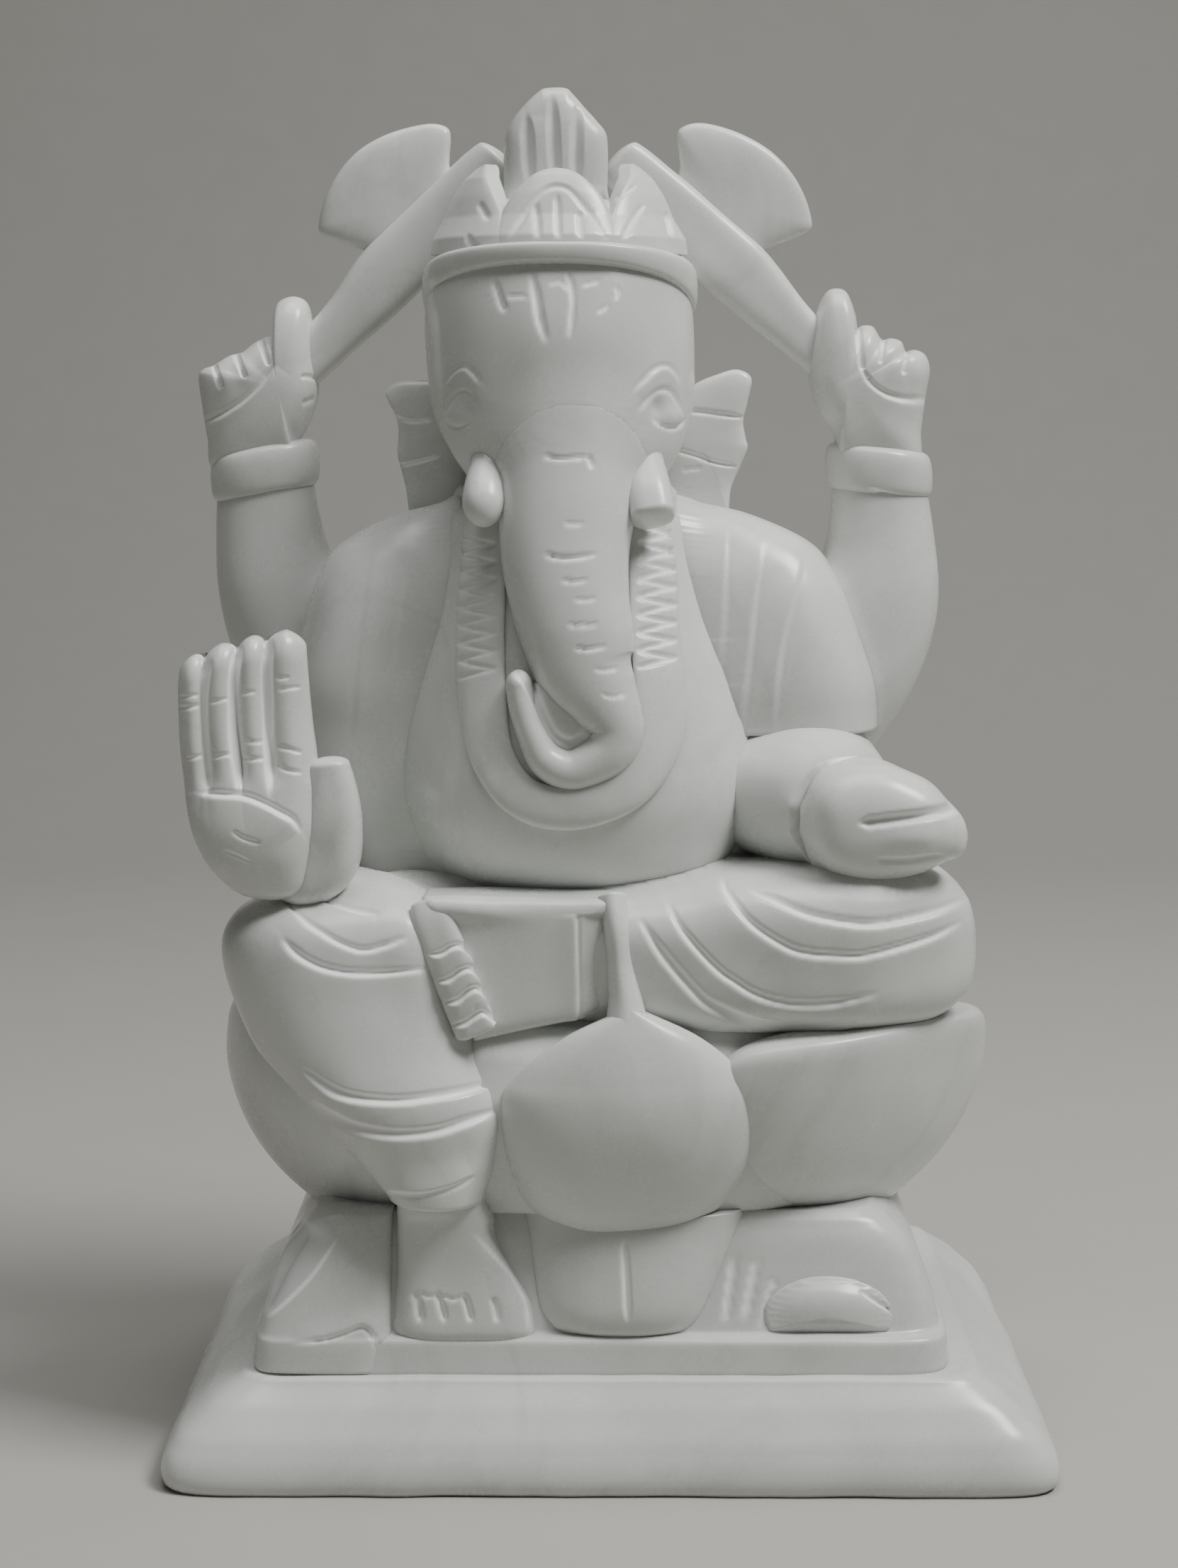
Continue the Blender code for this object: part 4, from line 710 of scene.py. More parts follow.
def pleat_form():
    """A narrow ridge of cloth that runs down into the front petal's tip."""
    rows = ((0.2, -34.2, 97.0, 2.4, 3.0), (0.9, -36.4, 92.0, 2.2, 3.0), (1.5, -37.2, 86.0, 2.3, 3.0))
    rows += ((2.4, -38.2, 80.0, 3.0, 3.6), (2.8, -39.6, 74.0, 4.4, 4.2))
    return Form(rows, "path", squareness=1.8)


# Body


def torso_form():
    rows = []
    for z, wide, deep in (
        (72, 36.1, 24.0), (90, 41.0, 26.0), (106, 42.5, 26.0), (122, 38.5, 24.5), (139, 34.7, 21.0),
        (153, 27.2, 16.0), (160, 18.7, 13.0), (163, 14.3, 11.5), (166, 12.0, 10.0),
    ):
        rows.append((axis_x(z), 9.5, z, wide, deep))
    return Form(rows, squareness=3.0)


def belly_form():
    rows = []
    for z, wide, deep in (
        (94.4, 4.0, 4.0), (94.8, 15.0, 12.4), (95.6, 19.0, 15.8), (96.8, 21.6, 17.8), (99.0, 24.4, 19.8),
        (103, 27.0, 21.8), (111, 29.0, 23.6), (120, 28.4, 24.0), (131, 25.4, 23.6), (141, 22.0, 22.2),
        (150, 20.0, 20.6), (157, 19.0, 18.8), (163, 17.0, 15.0),
    ):
        rows.append((axis_x(z) - 1.2, -8.5 + 0.15 * max(z - 111, 0), z, wide, deep))
    return Form(rows, squareness=2.4)


def drape_form(sign):
    """A shawl over the shoulder: a sleeve on the right, and on the left a fall to the lap."""
    rows = []
    for z, out, wide, deep in (
        (95.5, 30.0, 13.5, 16.5), (104.0, 32.5, 15.0, 17.4), (113.0, 35.0, 15.4, 17.8),
        (121.4, 36.3, 15.4, 17.8), (129.5, 35.4, 15.8, 18.5), (139.5, 32.9, 15.5, 17.4),
        (147.5, 30.3, 15.2, 15.5), (153.5, 26.3, 14.9, 12.6), (158.5, 19.0, 11.5, 8.9), (160.5, 16.0, 4.0, 4.0),
    ):
        if sign < 0 or z > 120.0:
            rows.append((axis_x(z) + sign * out, 3.5, z, wide, deep))
    return Form(rows, squareness=2.7)


GARLAND_LINE = (
    (-20.5, 162.0), (-21.6, 152.0), (-21.9, 142.0), (-21.6, 131.0), (-20.2, 121.4), (-16.9, 115.2), (-12.4, 112.1),
    (-6.0, 111.5), (1.0, 113.6), (5.9, 118.0), (8.5, 124.0), (8.2, 131.0), (7.3, 140.0), (7.2, 150.0), (7.0, 162.0),
)
def garland():
    """A flat band that lies on the belly, from one tusk, under the trunk's curl, to the other.

    Across it, an oval stands 1.8 out of the belly's front and 2.5 into it.
    """
    line = smooth(GARLAND_LINE, 480)
    along = np.gradient(line, axis=0)
    along /= np.linalg.norm(along, axis=1, keepdims=True)
    across, out = oval(turned(64, 0.0)[None], 1.0, 1.0, 3.4)
    half = 3.8 + 0.5 * ease(line[:, 1:], 114.0, 132.0)
    x = line[:, :1] - along[:, 1:] * half * across
    z = line[:, 1:] + along[:, :1] * half * across
    y = belly_form().front(x, z) - np.where(out > 0, 1.8, 2.5) * out
    return np.stack([x, y, z], axis=2)


# Arms


def front_arm_left_form():
    rows = ((-42, 4, 109, 7.0, 7.0), (-49, -10, 106, 6.6, 6.6), (-56.0, -28.5, 103.8, 6.2, 6.2))
    return Form(rows, "path", face=(0, 0, 1))


def front_arm_right_form():
    rows = ((38.0, 13, 122, 5.0, 5.0), (36.0, 9, 117, 11.0, 9.0), (33.8, 2, 112, 14.2, 12.2), (33.6, -6, 111, 14.6, 12.6))
    rows += ((35.4, -17, 110.4, 13.2, 11.8), (39.0, -27, 110, 9.4, 8.8))
    return Form(rows, "path", face=(0, 0, 1))


def front_hand_right_form():
    """A closed hand that rests on the knee and points to the right."""
    rows = ((31.8, -29.0, 109.4, 2.0, 2.5), (33.8, -29.2, 109.4, 6.2, 6.2), (36.6, -29.5, 109.1, 8.6, 8.2))
    rows += ((41.0, -29.6, 108.9, 9.8, 8.8), (45.8, -29.6, 108.9, 9.6, 8.8), (51.0, -29.6, 108.5, 8.0, 8.4))
    rows += ((53.6, -29.5, 108.2, 6.6, 7.6), (55.6, -29.4, 107.6, 5.0, 6.6), (57.2, -29.4, 107.0, 4.0, 5.4))
    rows += ((58.4, -29.4, 106.7, 2.7, 3.8), (59.0, -29.4, 106.6, 1.0, 1.6))
    return Form(rows, "upright", squareness=2.4)


PALM_KNOTS = (-1.0, -0.604, -0.09, 0.369, 1.0)
FINGER_TOPS = ((0.0, 0.5, 1.5, 2.5, 3.5, 4.0), (135.4, 136.6, 138.8, 140.1, 141.0, 140.0))
def raised_hand():
    """A flat hand: ovals across its width, drawn up to a scalloped top edge of four finger tips.

    Across the hand q runs from 0 to 4, one for each finger; |sin(pi q)| rounds each of them.
    """
    keys = smooth(
        (
            (0.0, -56.4, 2.5, 2.5), (0.036, -56.2, 6.2, 4.6), (0.138, -57.2, 9.0, 6.4), (0.23, -58.0, 10.0, 6.8),
            (0.32, -58.6, 10.6, 6.6), (0.43, -59.0, 10.9, 5.8), (0.56, -59.4, 11.0, 4.8),
            (0.70, -60.0, 10.9, 4.3), (0.90, -60.3, 10.7, 4.0), (1.0, -60.3, 10.5, 3.7),
        ),
        400,
    )
    t = np.linspace(0, 1, 170)
    centre, half, deep = (np.interp(t, keys[:, 0], column)[:, None] for column in keys.T[1:])
    t = t[:, None]
    across, out = oval(turned(270, 0.0)[None], 1.0, 1.0, 3.2)
    finger = np.interp(across, PALM_KNOTS, range(5))
    bump = np.abs(np.sin(math.pi * finger))
    top = np.interp(finger, *FINGER_TOPS) - 1.8 * (1 - bump**0.5)
    z = 96.4 + t * (top - 96.4)
    parted = ease(t, 0.42, 0.52) * (1 - bump**0.7)
    tip = np.sqrt(np.clip(1 - (np.maximum(t - 0.90, 0) / 0.10) ** 2, 0.0004, 1))
    y = -31.5 - deep * out * (1 - 0.42 * parted) * tip
    return np.stack([centre + half * across, y, z], axis=2)


def thumb_form():
    rows = ((-56.0, -30.5, 99.6, 3.0, 3.0), (-50.6, -31.0, 99.8, 4.8, 4.6), (-46.9, -31.8, 102.8, 5.3, 4.8))
    rows += ((-45.8, -32.2, 108.5, 4.9, 4.4), (-45.9, -32.2, 114.0, 4.2, 3.8), (-46.4, -32.2, 120.0, 3.0, 3.0))
    return Form(rows, "path", squareness=2.6, dome=(0.06, 0.045))


def rear_arm_form(sign):
    rows = []
    for z, inward, half in (
        (107.0, -17.0, 3.5), (111.0, -15.0, 7.2), (118.0, -11.5, 10.0), (127.0, -7.0, 11.6),
        (136.0, -3.5, 11.8), (145.0, -1.4, 11.2), (155.0, -0.2, 9.5), (165.0, 0.0, 8.3),
    ):
        rows.append((axis_x(z) + sign * (54.8 + inward), 12.0, z, half, 0.9 * half))
    return Form(rows)


def bracelet_form(sign):
    rows = []
    for z, half in ((161.0, 7.0), (161.9, 8.7), (163.2, 9.4), (166.0, 9.6), (168.4, 9.3), (169.6, 8.5), (170.2, 6.5)):
        rows.append((axis_x(z) + sign * 54.8, 12.0, z, half, 0.92 * half))
    return Form(rows, lean=0.18 if sign < 0 else -0.10)


FIST_LEFT = (
    (-70.6, 167.0), (-71.7, 172.2), (-72.4, 177.0), (-73.0, 183.0), (-72.2, 184.6), (-70.2, 185.4), (-67.6, 187.0),
    (-65.2, 187.7), (-63.0, 189.3), (-60.8, 190.3), (-59.6, 190.2), (-59.3, 192.0), (-59.1, 195.0), (-58.2, 196.6),
    (-55.8, 197.3), (-53.6, 196.0), (-52.8, 191.5), (-52.5, 187.0), (-52.1, 183.6), (-52.3, 179.5), (-54.1, 174.5),
    (-56.0, 171.0), (-56.4, 167.0), (-63.0, 166.6),
)
FIST_RIGHT = (
    (55.0, 167.0), (55.2, 174.0), (55.8, 180.0), (56.5, 184.5), (55.7, 187.1), (53.9, 188.0), (52.3, 187.6), (51.4, 189.5),
    (49.6, 190.1), (48.0, 189.9), (46.4, 192.1), (44.6, 192.3), (43.6, 191.8), (43.1, 194.5), (41.6, 198.1), (39.6, 198.8),
    (37.8, 197.8), (36.2, 193.8), (35.2, 187.0), (35.4, 182.5), (37.1, 177.3), (39.9, 173.0), (40.9, 167.0), (47.5, 166.6),
)
FISTS = {"left": (FIST_LEFT, (-58.3, 180.5)), "right": (FIST_RIGHT, (41.6, 180.5))}


def fist(side):
    """A fist with one finger up: its outline, thick in the middle and rounded to the edge."""
    outline, centre = FISTS[side]
    return lens(smooth(outline, 240, closed=True) - (0.0, 1.1), 12.0, 16.0, 2.7, centre=centre)


def axe_line(sign, share):
    """A point of the axe handle's straight middle line, from the fist to the crown."""
    low = Vector((axis_x(186.2) + sign * 46.5 + 0.4, 12.0, 184.6))
    high = Vector((axis_x(218.9) + sign * 9.8 + 0.4, 11.0, 217.2))
    return low.lerp(high, share)


def axe_directions(sign):
    along = (axe_line(sign, 1) - axe_line(sign, 0)).normalized()
    return along, Vector((sign * along.z, 0, abs(along.x)))


def axe_handle_form(sign):
    across = axe_directions(sign)[1]
    rows = []
    for share, half, bow in (
        (-0.12, 3.6, 0.0), (0.20, 4.55, 0.3), (0.46, 5.9, 1.3), (0.86, 5.3, 2.0), (1.0, 4.7, 2.2), (1.05, 3.6, 2.3),
    ):
        rows.append((*(axe_line(sign, share) + across * bow), half, 3.8))
    return Form(rows, "path", squareness=3.4, dome=(0.03, 0.03))


# run along the handle from its middle, and reach out from its middle line
BLADE = (
    (22.4, 13.4), (20.8, 16.0), (17.2, 18.4), (13.0, 20.1), (8.0, 21.1), (3.0, 20.7), (-1.6, 19.2), (-5.2, 17.0),
    (-6.4, 15.2), (-5.0, 12.0), (-2.6, 7.4), (-2.4, 2.0), (7.0, 1.5), (17.0, 2.0), (17.8, 7.5), (19.4, 9.7), (21.4, 11.6),
)
def axe_blade(sign):
    """A fan on the handle's outer edge: an outline in the handle's own directions, thinner at its edge."""
    along, across = axe_directions(sign)
    spine = axe_line(sign, 0.50) + Vector((0.5, 0.0, -0.6))
    points = [spine + along * run + across * out for run, out in BLADE]
    centre = spine + along * 7.0 + across * 10.0
    outline = smooth([(point.x, point.z) for point in points], 220, closed=True)
    return lens(outline, 12.0, 5.4, squareness=3.6, centre=(centre.x, centre.z))


# Head and crown


def head_form():
    rows = []
    for z, wide, deep, y in (
        (157.0, 6.0, 6.0, -6.0), (158.5, 10.4, 10.4, -6.0), (163.0, 15.2, 14.3, -6.5), (169.0, 19.3, 18.4, -6.0),
        (176.0, 22.3, 21.6, -4.0), (187.0, 23.0, 23.0, -2.0), (196.0, 22.5, 22.5, -1.2), (201.5, 20.8, 20.8, -1.0),
        (204.0, 18.0, 18.0, -1.0), (206.0, 12.0, 12.0, -1.0),
    ):
        rows.append((axis_x(z) - 0.8, y, z, wide, deep))
    return Form(rows, squareness=2.3)


def trunk_form():
    """Hangs down the face and chest, then curls up to the viewer's left."""
    rows = ((-7.4, -2.0, 194.0, 9.0, 5.0), (-7.1, -7.0, 186.0, 11.2, 8.5), (-6.9, -13.0, 179.0, 12.6, 9.6))
    rows += ((-6.8, -17.4, 172.0, 12.4, 9.6), (-7.2, -20.8, 162.0, 11.4, 9.0), (-7.5, -23.4, 152.8, 10.6, 8.2))
    rows += ((-6.6, -25.4, 145.0, 10.0, 7.8), (-5.3, -26.9, 139.3, 9.4, 7.4), (-4.0, -28.0, 133.7, 8.5, 6.8))
    rows += ((-1.6, -29.0, 129.6, 6.6, 5.9), (0.4, -29.8, 126.0, 5.1, 5.2), (0.9, -30.2, 123.2, 4.4, 4.7))
    rows += ((-0.8, -30.5, 120.0, 4.1, 4.5), (-6.2, -30.6, 117.5, 3.6, 4.2), (-10.5, -30.6, 119.2, 3.2, 4.0))
    rows += ((-12.9, -30.6, 123.4, 2.6, 3.5), (-14.6, -30.6, 128.4, 2.3, 3.1), (-15.4, -30.6, 134.2, 2.0, 2.6))
    return Form(rows, "path", squareness=2.1, dome=(0, 0.02))


def curl_floor():
    """The shallow floor inside the trunk's curl: a flat oval, rounded to its edge."""
    turn = np.linspace(0.0, math.tau, 160, endpoint=False)
    outline = np.stack([-7.2 + 7.4 * np.cos(turn), 126.6 + 7.8 * np.sin(turn)], axis=1)
    return lens(outline, -28.4, 7.2, 3.0)


def tusk_forms():
    left = ((-19.0, -13.5, 172.5, 2.4, 2.4), (-20.4, -18.5, 167.5, 2.9, 2.9))
    left += ((-21.0, -23.0, 162.5, 3.5, 3.5), (-21.0, -26.0, 157.8, 3.3, 3.3))
    right = ((4.2, -13.5, 171.5, 3.2, 3.2), (5.4, -18.0, 167.0, 3.6, 3.6))
    right += ((6.4, -22.0, 162.5, 3.8, 3.8), (7.2, -24.6, 158.0, 3.7, 3.7))
    return {
        "left": Form(left, "path", squareness=2.1, dome=(0.05, 0.22)),
        "right": Form(right, "path", squareness=2.6, dome=(0.05, 0.08)),
    }


EAR_RIGHT = (
    (8, 168), (10, 177), (14.5, 181), (18.5, 182.8), (22.2, 183.6), (24.8, 182), (24.2, 178), (23.4, 174.5),
    (23.8, 171.5), (24.1, 169.8), (22.8, 166.5), (21.3, 162.8), (21.0, 159.3), (20.6, 156.8), (10, 156),
)
EAR_LEFT = (
    (-24, 168), (-25, 177), (-29, 181), (-33.5, 181.6), (-37.5, 181.3), (-39.6, 179.6), (-39.0, 177.6), (-37.8, 175.1),
    (-37.4, 172.5), (-37.6, 168.8), (-36.9, 166.0), (-36.0, 162.5), (-35.5, 158.6), (-34.6, 157.0), (-26, 156),
)


CROWN_X = -8.8
CROWN_Y = -1.0

BAND = ((0.0, 20.6), (0.03, 22.4), (0.10, 23.2), (0.40, 23.5), (0.72, 23.4), (0.88, 22.9), (0.96, 22.0), (1.0, 20.4))


def band_edges(forward):
    """Heights of the band's low and high edge: they rise to the front, and a third as much from the back."""
    run = forward * (0.675 + 0.325 * np.tanh(forward / 6.0))
    return 193.2 + 0.32 * run, 201.0 + 0.14 * run


def crown_band():
    """A band round the head, its section rounded, lower and taller at the sides than in front."""
    rows = smooth(BAND, 52)
    share, half = rows[:, :1], rows[:, 1:]
    side, front = oval(turned(330, 0.2)[None], 1.0, 1.0, 2.2)
    low, high = band_edges(half * front)
    z = low + (high - low) * share
    return np.stack([CROWN_X + half * side, CROWN_Y - half * front, z], axis=2)


CROWN_WALL = (
    (193.2, 201.0, 205.0, 208.5, 212.0, 215.0, 217.4),
    (21.0, 21.8, 21.0, 18.7, 17.2, 15.6, 13.4),
)
def crown_cap_form():
    """A cone whose wall leans in from the band, with a low top behind the teeth."""
    rows = []
    for z, back, half in (
        (193.2, 3.0, 20.4), (199.5, 1.3, 21.6), (202.0, 0.4, 21.3), (204.0, 0.0, 20.2), (208.5, 0.0, 17.5),
        (210.6, 0.0, 16.2), (211.6, 0.0, 12.0), (211.8, 0.0, 2.0),
    ):
        rows.append((CROWN_X, CROWN_Y + back, z, half, half))
    return Form(rows, squareness=2.0)


FRONT_TOOTH = (
    (0.0, 1.0), (0.10, 1.0), (0.30, 0.99), (0.49, 0.95), (0.70, 0.80), (0.84, 0.62), (0.93, 0.44), (0.98, 0.25), (1.0, 0.05),
)
SIDE_TOOTH = ((0.0, 1.0), (0.12, 1.0), (0.30, 0.97), (0.50, 0.88), (0.70, 0.70), (0.86, 0.44), (0.95, 0.24), (1.0, 0.05))
TEETH = {
    "front": (FRONT_TOOTH, -1.0, -1.0, 216.2),
    "left": (SIDE_TOOTH, -47.0, -63.0, 217.4),
    "right": (SIDE_TOOTH, 47.0, 63.0, 217.4),
}
def crown_tooth(outline, turn_low, turn_high, top):
    """A leaf on the cap, wrapped round its cone: ovals across it, narrowing to the tip."""
    rows = smooth(outline, 64)
    share, width = rows[:, :1], rows[:, 1:]
    across, out = oval(turned(130, 0.2)[None], 1.0, 1.0, 6.0)
    turn = np.radians(turn_low + (turn_high - turn_low) * share)
    foot = band_edges(22.0 * math.cos(math.radians(turn_low)))[1] - 0.8
    z = foot + (top - foot) * share
    reach = np.interp(z, *CROWN_WALL) + np.where(out > 0, 1.4, 3.4) * out * (0.25 + 0.75 * np.sqrt(width))
    angle = turn + 10.4 / 21.0 * width * across
    x = CROWN_X + reach * np.sin(angle)
    y = CROWN_Y - reach * np.cos(angle)
    return np.stack([x, y, np.broadcast_to(z, x.shape)], axis=2)


def crown_peak():
    outline = ((-8.8, 206), (-8.8, 214), (-8.8, 220), (-8.4, 223.2), (-7.2, 225.6), (-5.2, 228.0), (-3.2, 229.9), (-1.7, 230.7))
    outline += ((1.6, 230.7), (3.0, 229.6), (5.0, 227.3), (7.0, 225.0), (8.5, 223.0), (8.8, 220), (8.8, 214), (8.8, 206))
    points = [(u - 9.4, z) for u, z in outline]
    return lens(smooth(points, 230, closed=True), 0.0, 12.0, squareness=4.0, centre=(-9.4, 217.0))


# Chisel lines, in pixels of the photograph


FOREHEAD_LINES = (
    cut(8.0, 0.65, (750, 384), (756, 415), (762, 450), (771, 482), taper=0.3),
    cut(5.5, 0.50, (801, 384), (807, 410), (807, 440), (803, 476)),
    cut(5.5, 0.60, (697, 395), (704, 418), (713, 440)),
    cut(4.0, 0.30, (822, 404), (834, 400), (846, 398)),
    cut(4.0, 0.28, (866, 404), (871, 414), (868, 424)),
    cut(4.0, 0.28, (842, 441), (851, 437), (858, 431)),
    cut(4.0, 0.25, (715, 420), (730, 418), (745, 421)),
    cut(4.0, 0.25, (775, 402), (790, 399), (803, 410)),
)
EYE_LINES = (
    cut(4.5, 0.35, (895, 552), (908, 537), (922, 522), (938, 516), (950, 522), (959, 538), lip=0.30, white=0.5),
    cut(4.5, 0.50, (902, 580), (913, 566), (923, 555), (935, 549), (947, 553), (957, 568), (966, 590), white=0.6),
    cut(4.0, 0.45, (921, 588), (931, 599), (945, 604), (958, 601), (968, 591)),
    cut(4.0, 0.28, (629, 541), (640, 525), (655, 517), (668, 526), (679, 542), lip=0.25, white=0.3),
    cut(4.0, 0.32, (627, 586), (636, 566), (648, 553), (661, 555), (674, 573), white=0.3),
    cut(3.5, 0.28, (627, 592), (642, 602), (658, 600), (673, 588), white=0.3),
)
FACE_DABS = (
    (928, 574, 8, 16, -0.8, 0), (949, 588, 12, 12, 0.5, 0), (660, 576, 9, 16, -0.35, 0), (644, 584, 11, 12, 0.3, 0),
    (716, 565, 45, 95, -0.30, 0), (872, 565, 45, 95, -0.30, 0), (640, 645, 45, 45, 0.8, 0), (945, 645, 40, 40, 0.8, 0),
    (790, 470, 95, 75, 0.6, 0),
)
TRUNK_LINES = (
    cut(4.0, 0.45, (766, 643), (785, 646), (808, 646), (828, 644)),
    cut(5.0, 0.50, (829, 642), (833, 650), (836, 660)),
    cut(4.0, 0.25, (796, 738), (810, 740), (824, 738)),
    cut(4.5, 0.50, (768, 782), (790, 787), (815, 786), (842, 782)),
    cut(3.5, 0.35, (792, 819), (810, 821), (830, 818)),
    cut(3.5, 0.32, (810, 846), (826, 847), (842, 844)),
    cut(3.5, 0.36, (800, 882), (822, 883), (845, 881)),
    cut(4.0, 0.42, (810, 914), (830, 916), (858, 912)),
    cut(3.5, 0.28, (838, 945), (855, 946), (873, 943)),
    cut(3.5, 0.25, (848, 980), (866, 984), (884, 980)),
)
CURL_LINES = (
    cut(8.0, 0.90, (724, 946), (740, 958), (757, 985), (770, 1014), (783, 1036), (804, 1046), (824, 1038), (838, 1024)),
)
GARLAND_LINES = tuple(
    line
    for k in range(8)
    for line in (
        cut(4.5, 0.65, (900, 741 + 25 * k), (928, 748 + 25 * k), (956, 753 + 25 * k), taper=0.08),
        cut(4.5, 0.65, (956, 753 + 25 * k), (928, 759 + 25 * k), (900, 766 + 25 * k), taper=0.08),
        cut(4.0, 0.35, (644, 756 + 25 * k), (672, 763 + 25 * k), (700, 768 + 25 * k), taper=0.08, white=0.4),
        cut(4.0, 0.35, (700, 768 + 25 * k), (672, 774 + 25 * k), (644, 781 + 25 * k), taper=0.08, white=0.4),
    )
)
PALM_LINES = (
    cut(8.0, 0.50, (296, 930), (289, 960), (287, 1000), (291, 1060), (296, 1112)),
    cut(8.0, 0.50, (338, 912), (331, 940), (328, 980), (328, 1040), (336, 1116)),
    cut(8.0, 0.50, (382, 904), (377, 940), (378, 1000), (378, 1060), (381, 1124)),
    cut(3.5, 0.35, (253, 984), (270, 982), (285, 979)),
    cut(4.0, 0.45, (253, 999), (270, 997), (286, 993)),
    cut(3.5, 0.35, (296, 990), (310, 988), (324, 985)),
    cut(3.5, 0.30, (339, 978), (350, 977), (362, 976)),
    cut(3.5, 0.35, (263, 1070), (275, 1068), (287, 1065)),
    cut(4.0, 0.42, (302, 1068), (315, 1065), (329, 1064)),
    cut(4.0, 0.42, (342, 1070), (358, 1071), (374, 1070)),
    cut(3.5, 0.30, (344, 1045), (360, 1047), (376, 1046)),
    cut(3.5, 0.32, (388, 955), (398, 957), (410, 955)),
    cut(3.5, 0.35, (392, 973), (408, 971), (426, 969)),
    cut(4.0, 0.42, (392, 1053), (410, 1057), (426, 1062)),
    cut(4.0, 0.42, (391, 1078), (404, 1086), (426, 1090)),
    cut(7.0, 0.60, (284, 1119), (310, 1120), (345, 1123), (370, 1132), (395, 1145), (412, 1155), (424, 1172), lip=0.7),
    cut(4.0, 0.45, (330, 1172), (346, 1182), (368, 1188)),
    cut(3.5, 0.35, (316, 1198), (338, 1207), (356, 1216)),
)
PALM_DABS = ((340, 1180, 62, 42, 1.0, 12), (445, 1215, 26, 44, -0.9, 30))
LEFT_KNEE_LINES = (
    cut(5.5, 0.55, (450, 1267), (475, 1277), (500, 1286), (532, 1295), lip=0.35),
    cut(6.0, 0.60, (403, 1272), (430, 1300), (455, 1316), (480, 1330), (510, 1340), (540, 1335), (566, 1326), lip=0.45),
    cut(7.0, 0.65, (400, 1325), (420, 1345), (445, 1360), (470, 1368), (500, 1372), (540, 1372), (594, 1369), lip=0.55),
    cut(9.0, 0.75, (428, 1508), (465, 1535), (490, 1545), (520, 1550), (560, 1552), (600, 1548), (650, 1540), (707, 1524), lip=0.6),
    cut(9.0, 0.70, (443, 1553), (470, 1573), (500, 1588), (540, 1597), (580, 1598), (620, 1593), (660, 1580), (697, 1566), lip=0.6),
    cut(6.0, 0.50, (545, 1682), (590, 1686), (635, 1676), (668, 1660), lip=-0.4),
)
TOE_LINES = (
    cut(6.5, 0.90, (586, 1823), (590, 1842), (594, 1866)),
    cut(6.5, 0.90, (616, 1823), (622, 1842), (628, 1864)),
    cut(6.5, 0.90, (654, 1826), (660, 1844), (665, 1864)),
    cut(6.0, 0.80, (695, 1831), (699, 1846), (702, 1865)),
    cut(4.0, 0.45, (590, 1822), (602, 1829), (612, 1827)),
    cut(4.0, 0.45, (622, 1828), (640, 1833), (652, 1829)),
)
RIGHT_LEG_LINES = (
    cut(
        8.0, 0.70, (1056, 1256), (1090, 1268), (1140, 1289), (1200, 1301), (1240, 1302), (1280, 1295), (1320, 1285),
        (1358, 1270), lip=0.5,
    ),
    cut(
        7.0, 0.65, (1019, 1240), (1026, 1260), (1060, 1302), (1110, 1335), (1145, 1345), (1190, 1348), (1230, 1345),
        (1310, 1322), (1354, 1301), lip=0.5,
    ),
    cut(
        6.5, 0.65, (943, 1276), (965, 1315), (1010, 1365), (1040, 1387), (1065, 1402), (1100, 1413), (1140, 1417),
        (1180, 1414), (1236, 1402), lip=0.5,
    ),
    cut(
        9.0, 0.80, (904, 1298), (935, 1345), (975, 1392), (1000, 1415), (1040, 1433), (1080, 1445), (1130, 1450),
        (1205, 1442), lip=0.5,
    ),
)
SASH_LINES = (
    cut(6.0, 0.80, (606, 1346), (622, 1344), (636, 1336), (650, 1334), (664, 1346), (672, 1360), lip=0.5),
    cut(6.0, 0.80, (618, 1384), (634, 1380), (648, 1370), (662, 1366), (676, 1376), (682, 1390), lip=0.5),
    cut(6.0, 0.80, (630, 1414), (646, 1410), (658, 1400), (672, 1394), (686, 1404), (692, 1418), lip=0.5),
    cut(6.0, 0.80, (640, 1446), (656, 1442), (668, 1434), (682, 1428), (696, 1438), (704, 1452), lip=0.5),
)
KNEE_DABS = ((584, 1330, 46, 90, 2.8, -22),)
LAP_DABS = ((650, 1282, 70, 16, 1.3, 4), (760, 1370, 50, 60, -0.2, 0))
APRON_LINES = (cut(4.0, 0.40, (815, 1290), (816, 1345), (818, 1450), taper=0.05, lip=0.25, bevel=-0.022, white=0.7),)
HAND_LINES = (
    cut(10.0, 1.30, (1214, 1162), (1258, 1156), (1300, 1150), (1358, 1138), taper=0.10, white=0.6),
    cut(5.0, 0.55, (1236, 1214), (1276, 1214), (1330, 1206), taper=0.12, white=0.4),
)
HAND_DABS = ((1290, 1182, 46, 16, 0.5, -4),)
EAR_LINES = (
    cut(4.5, 0.55, (962, 579), (990, 581), (1020, 585), (1050, 589)),
    cut(4.5, 0.55, (950, 634), (980, 642), (1008, 652), (1040, 658)),
    cut(3.5, 0.30, (962, 664), (975, 662), (990, 660)),
    cut(4.0, 0.35, (548, 586), (580, 594), (610, 592)),
    cut(4.0, 0.35, (556, 658), (590, 651), (622, 642)),
)
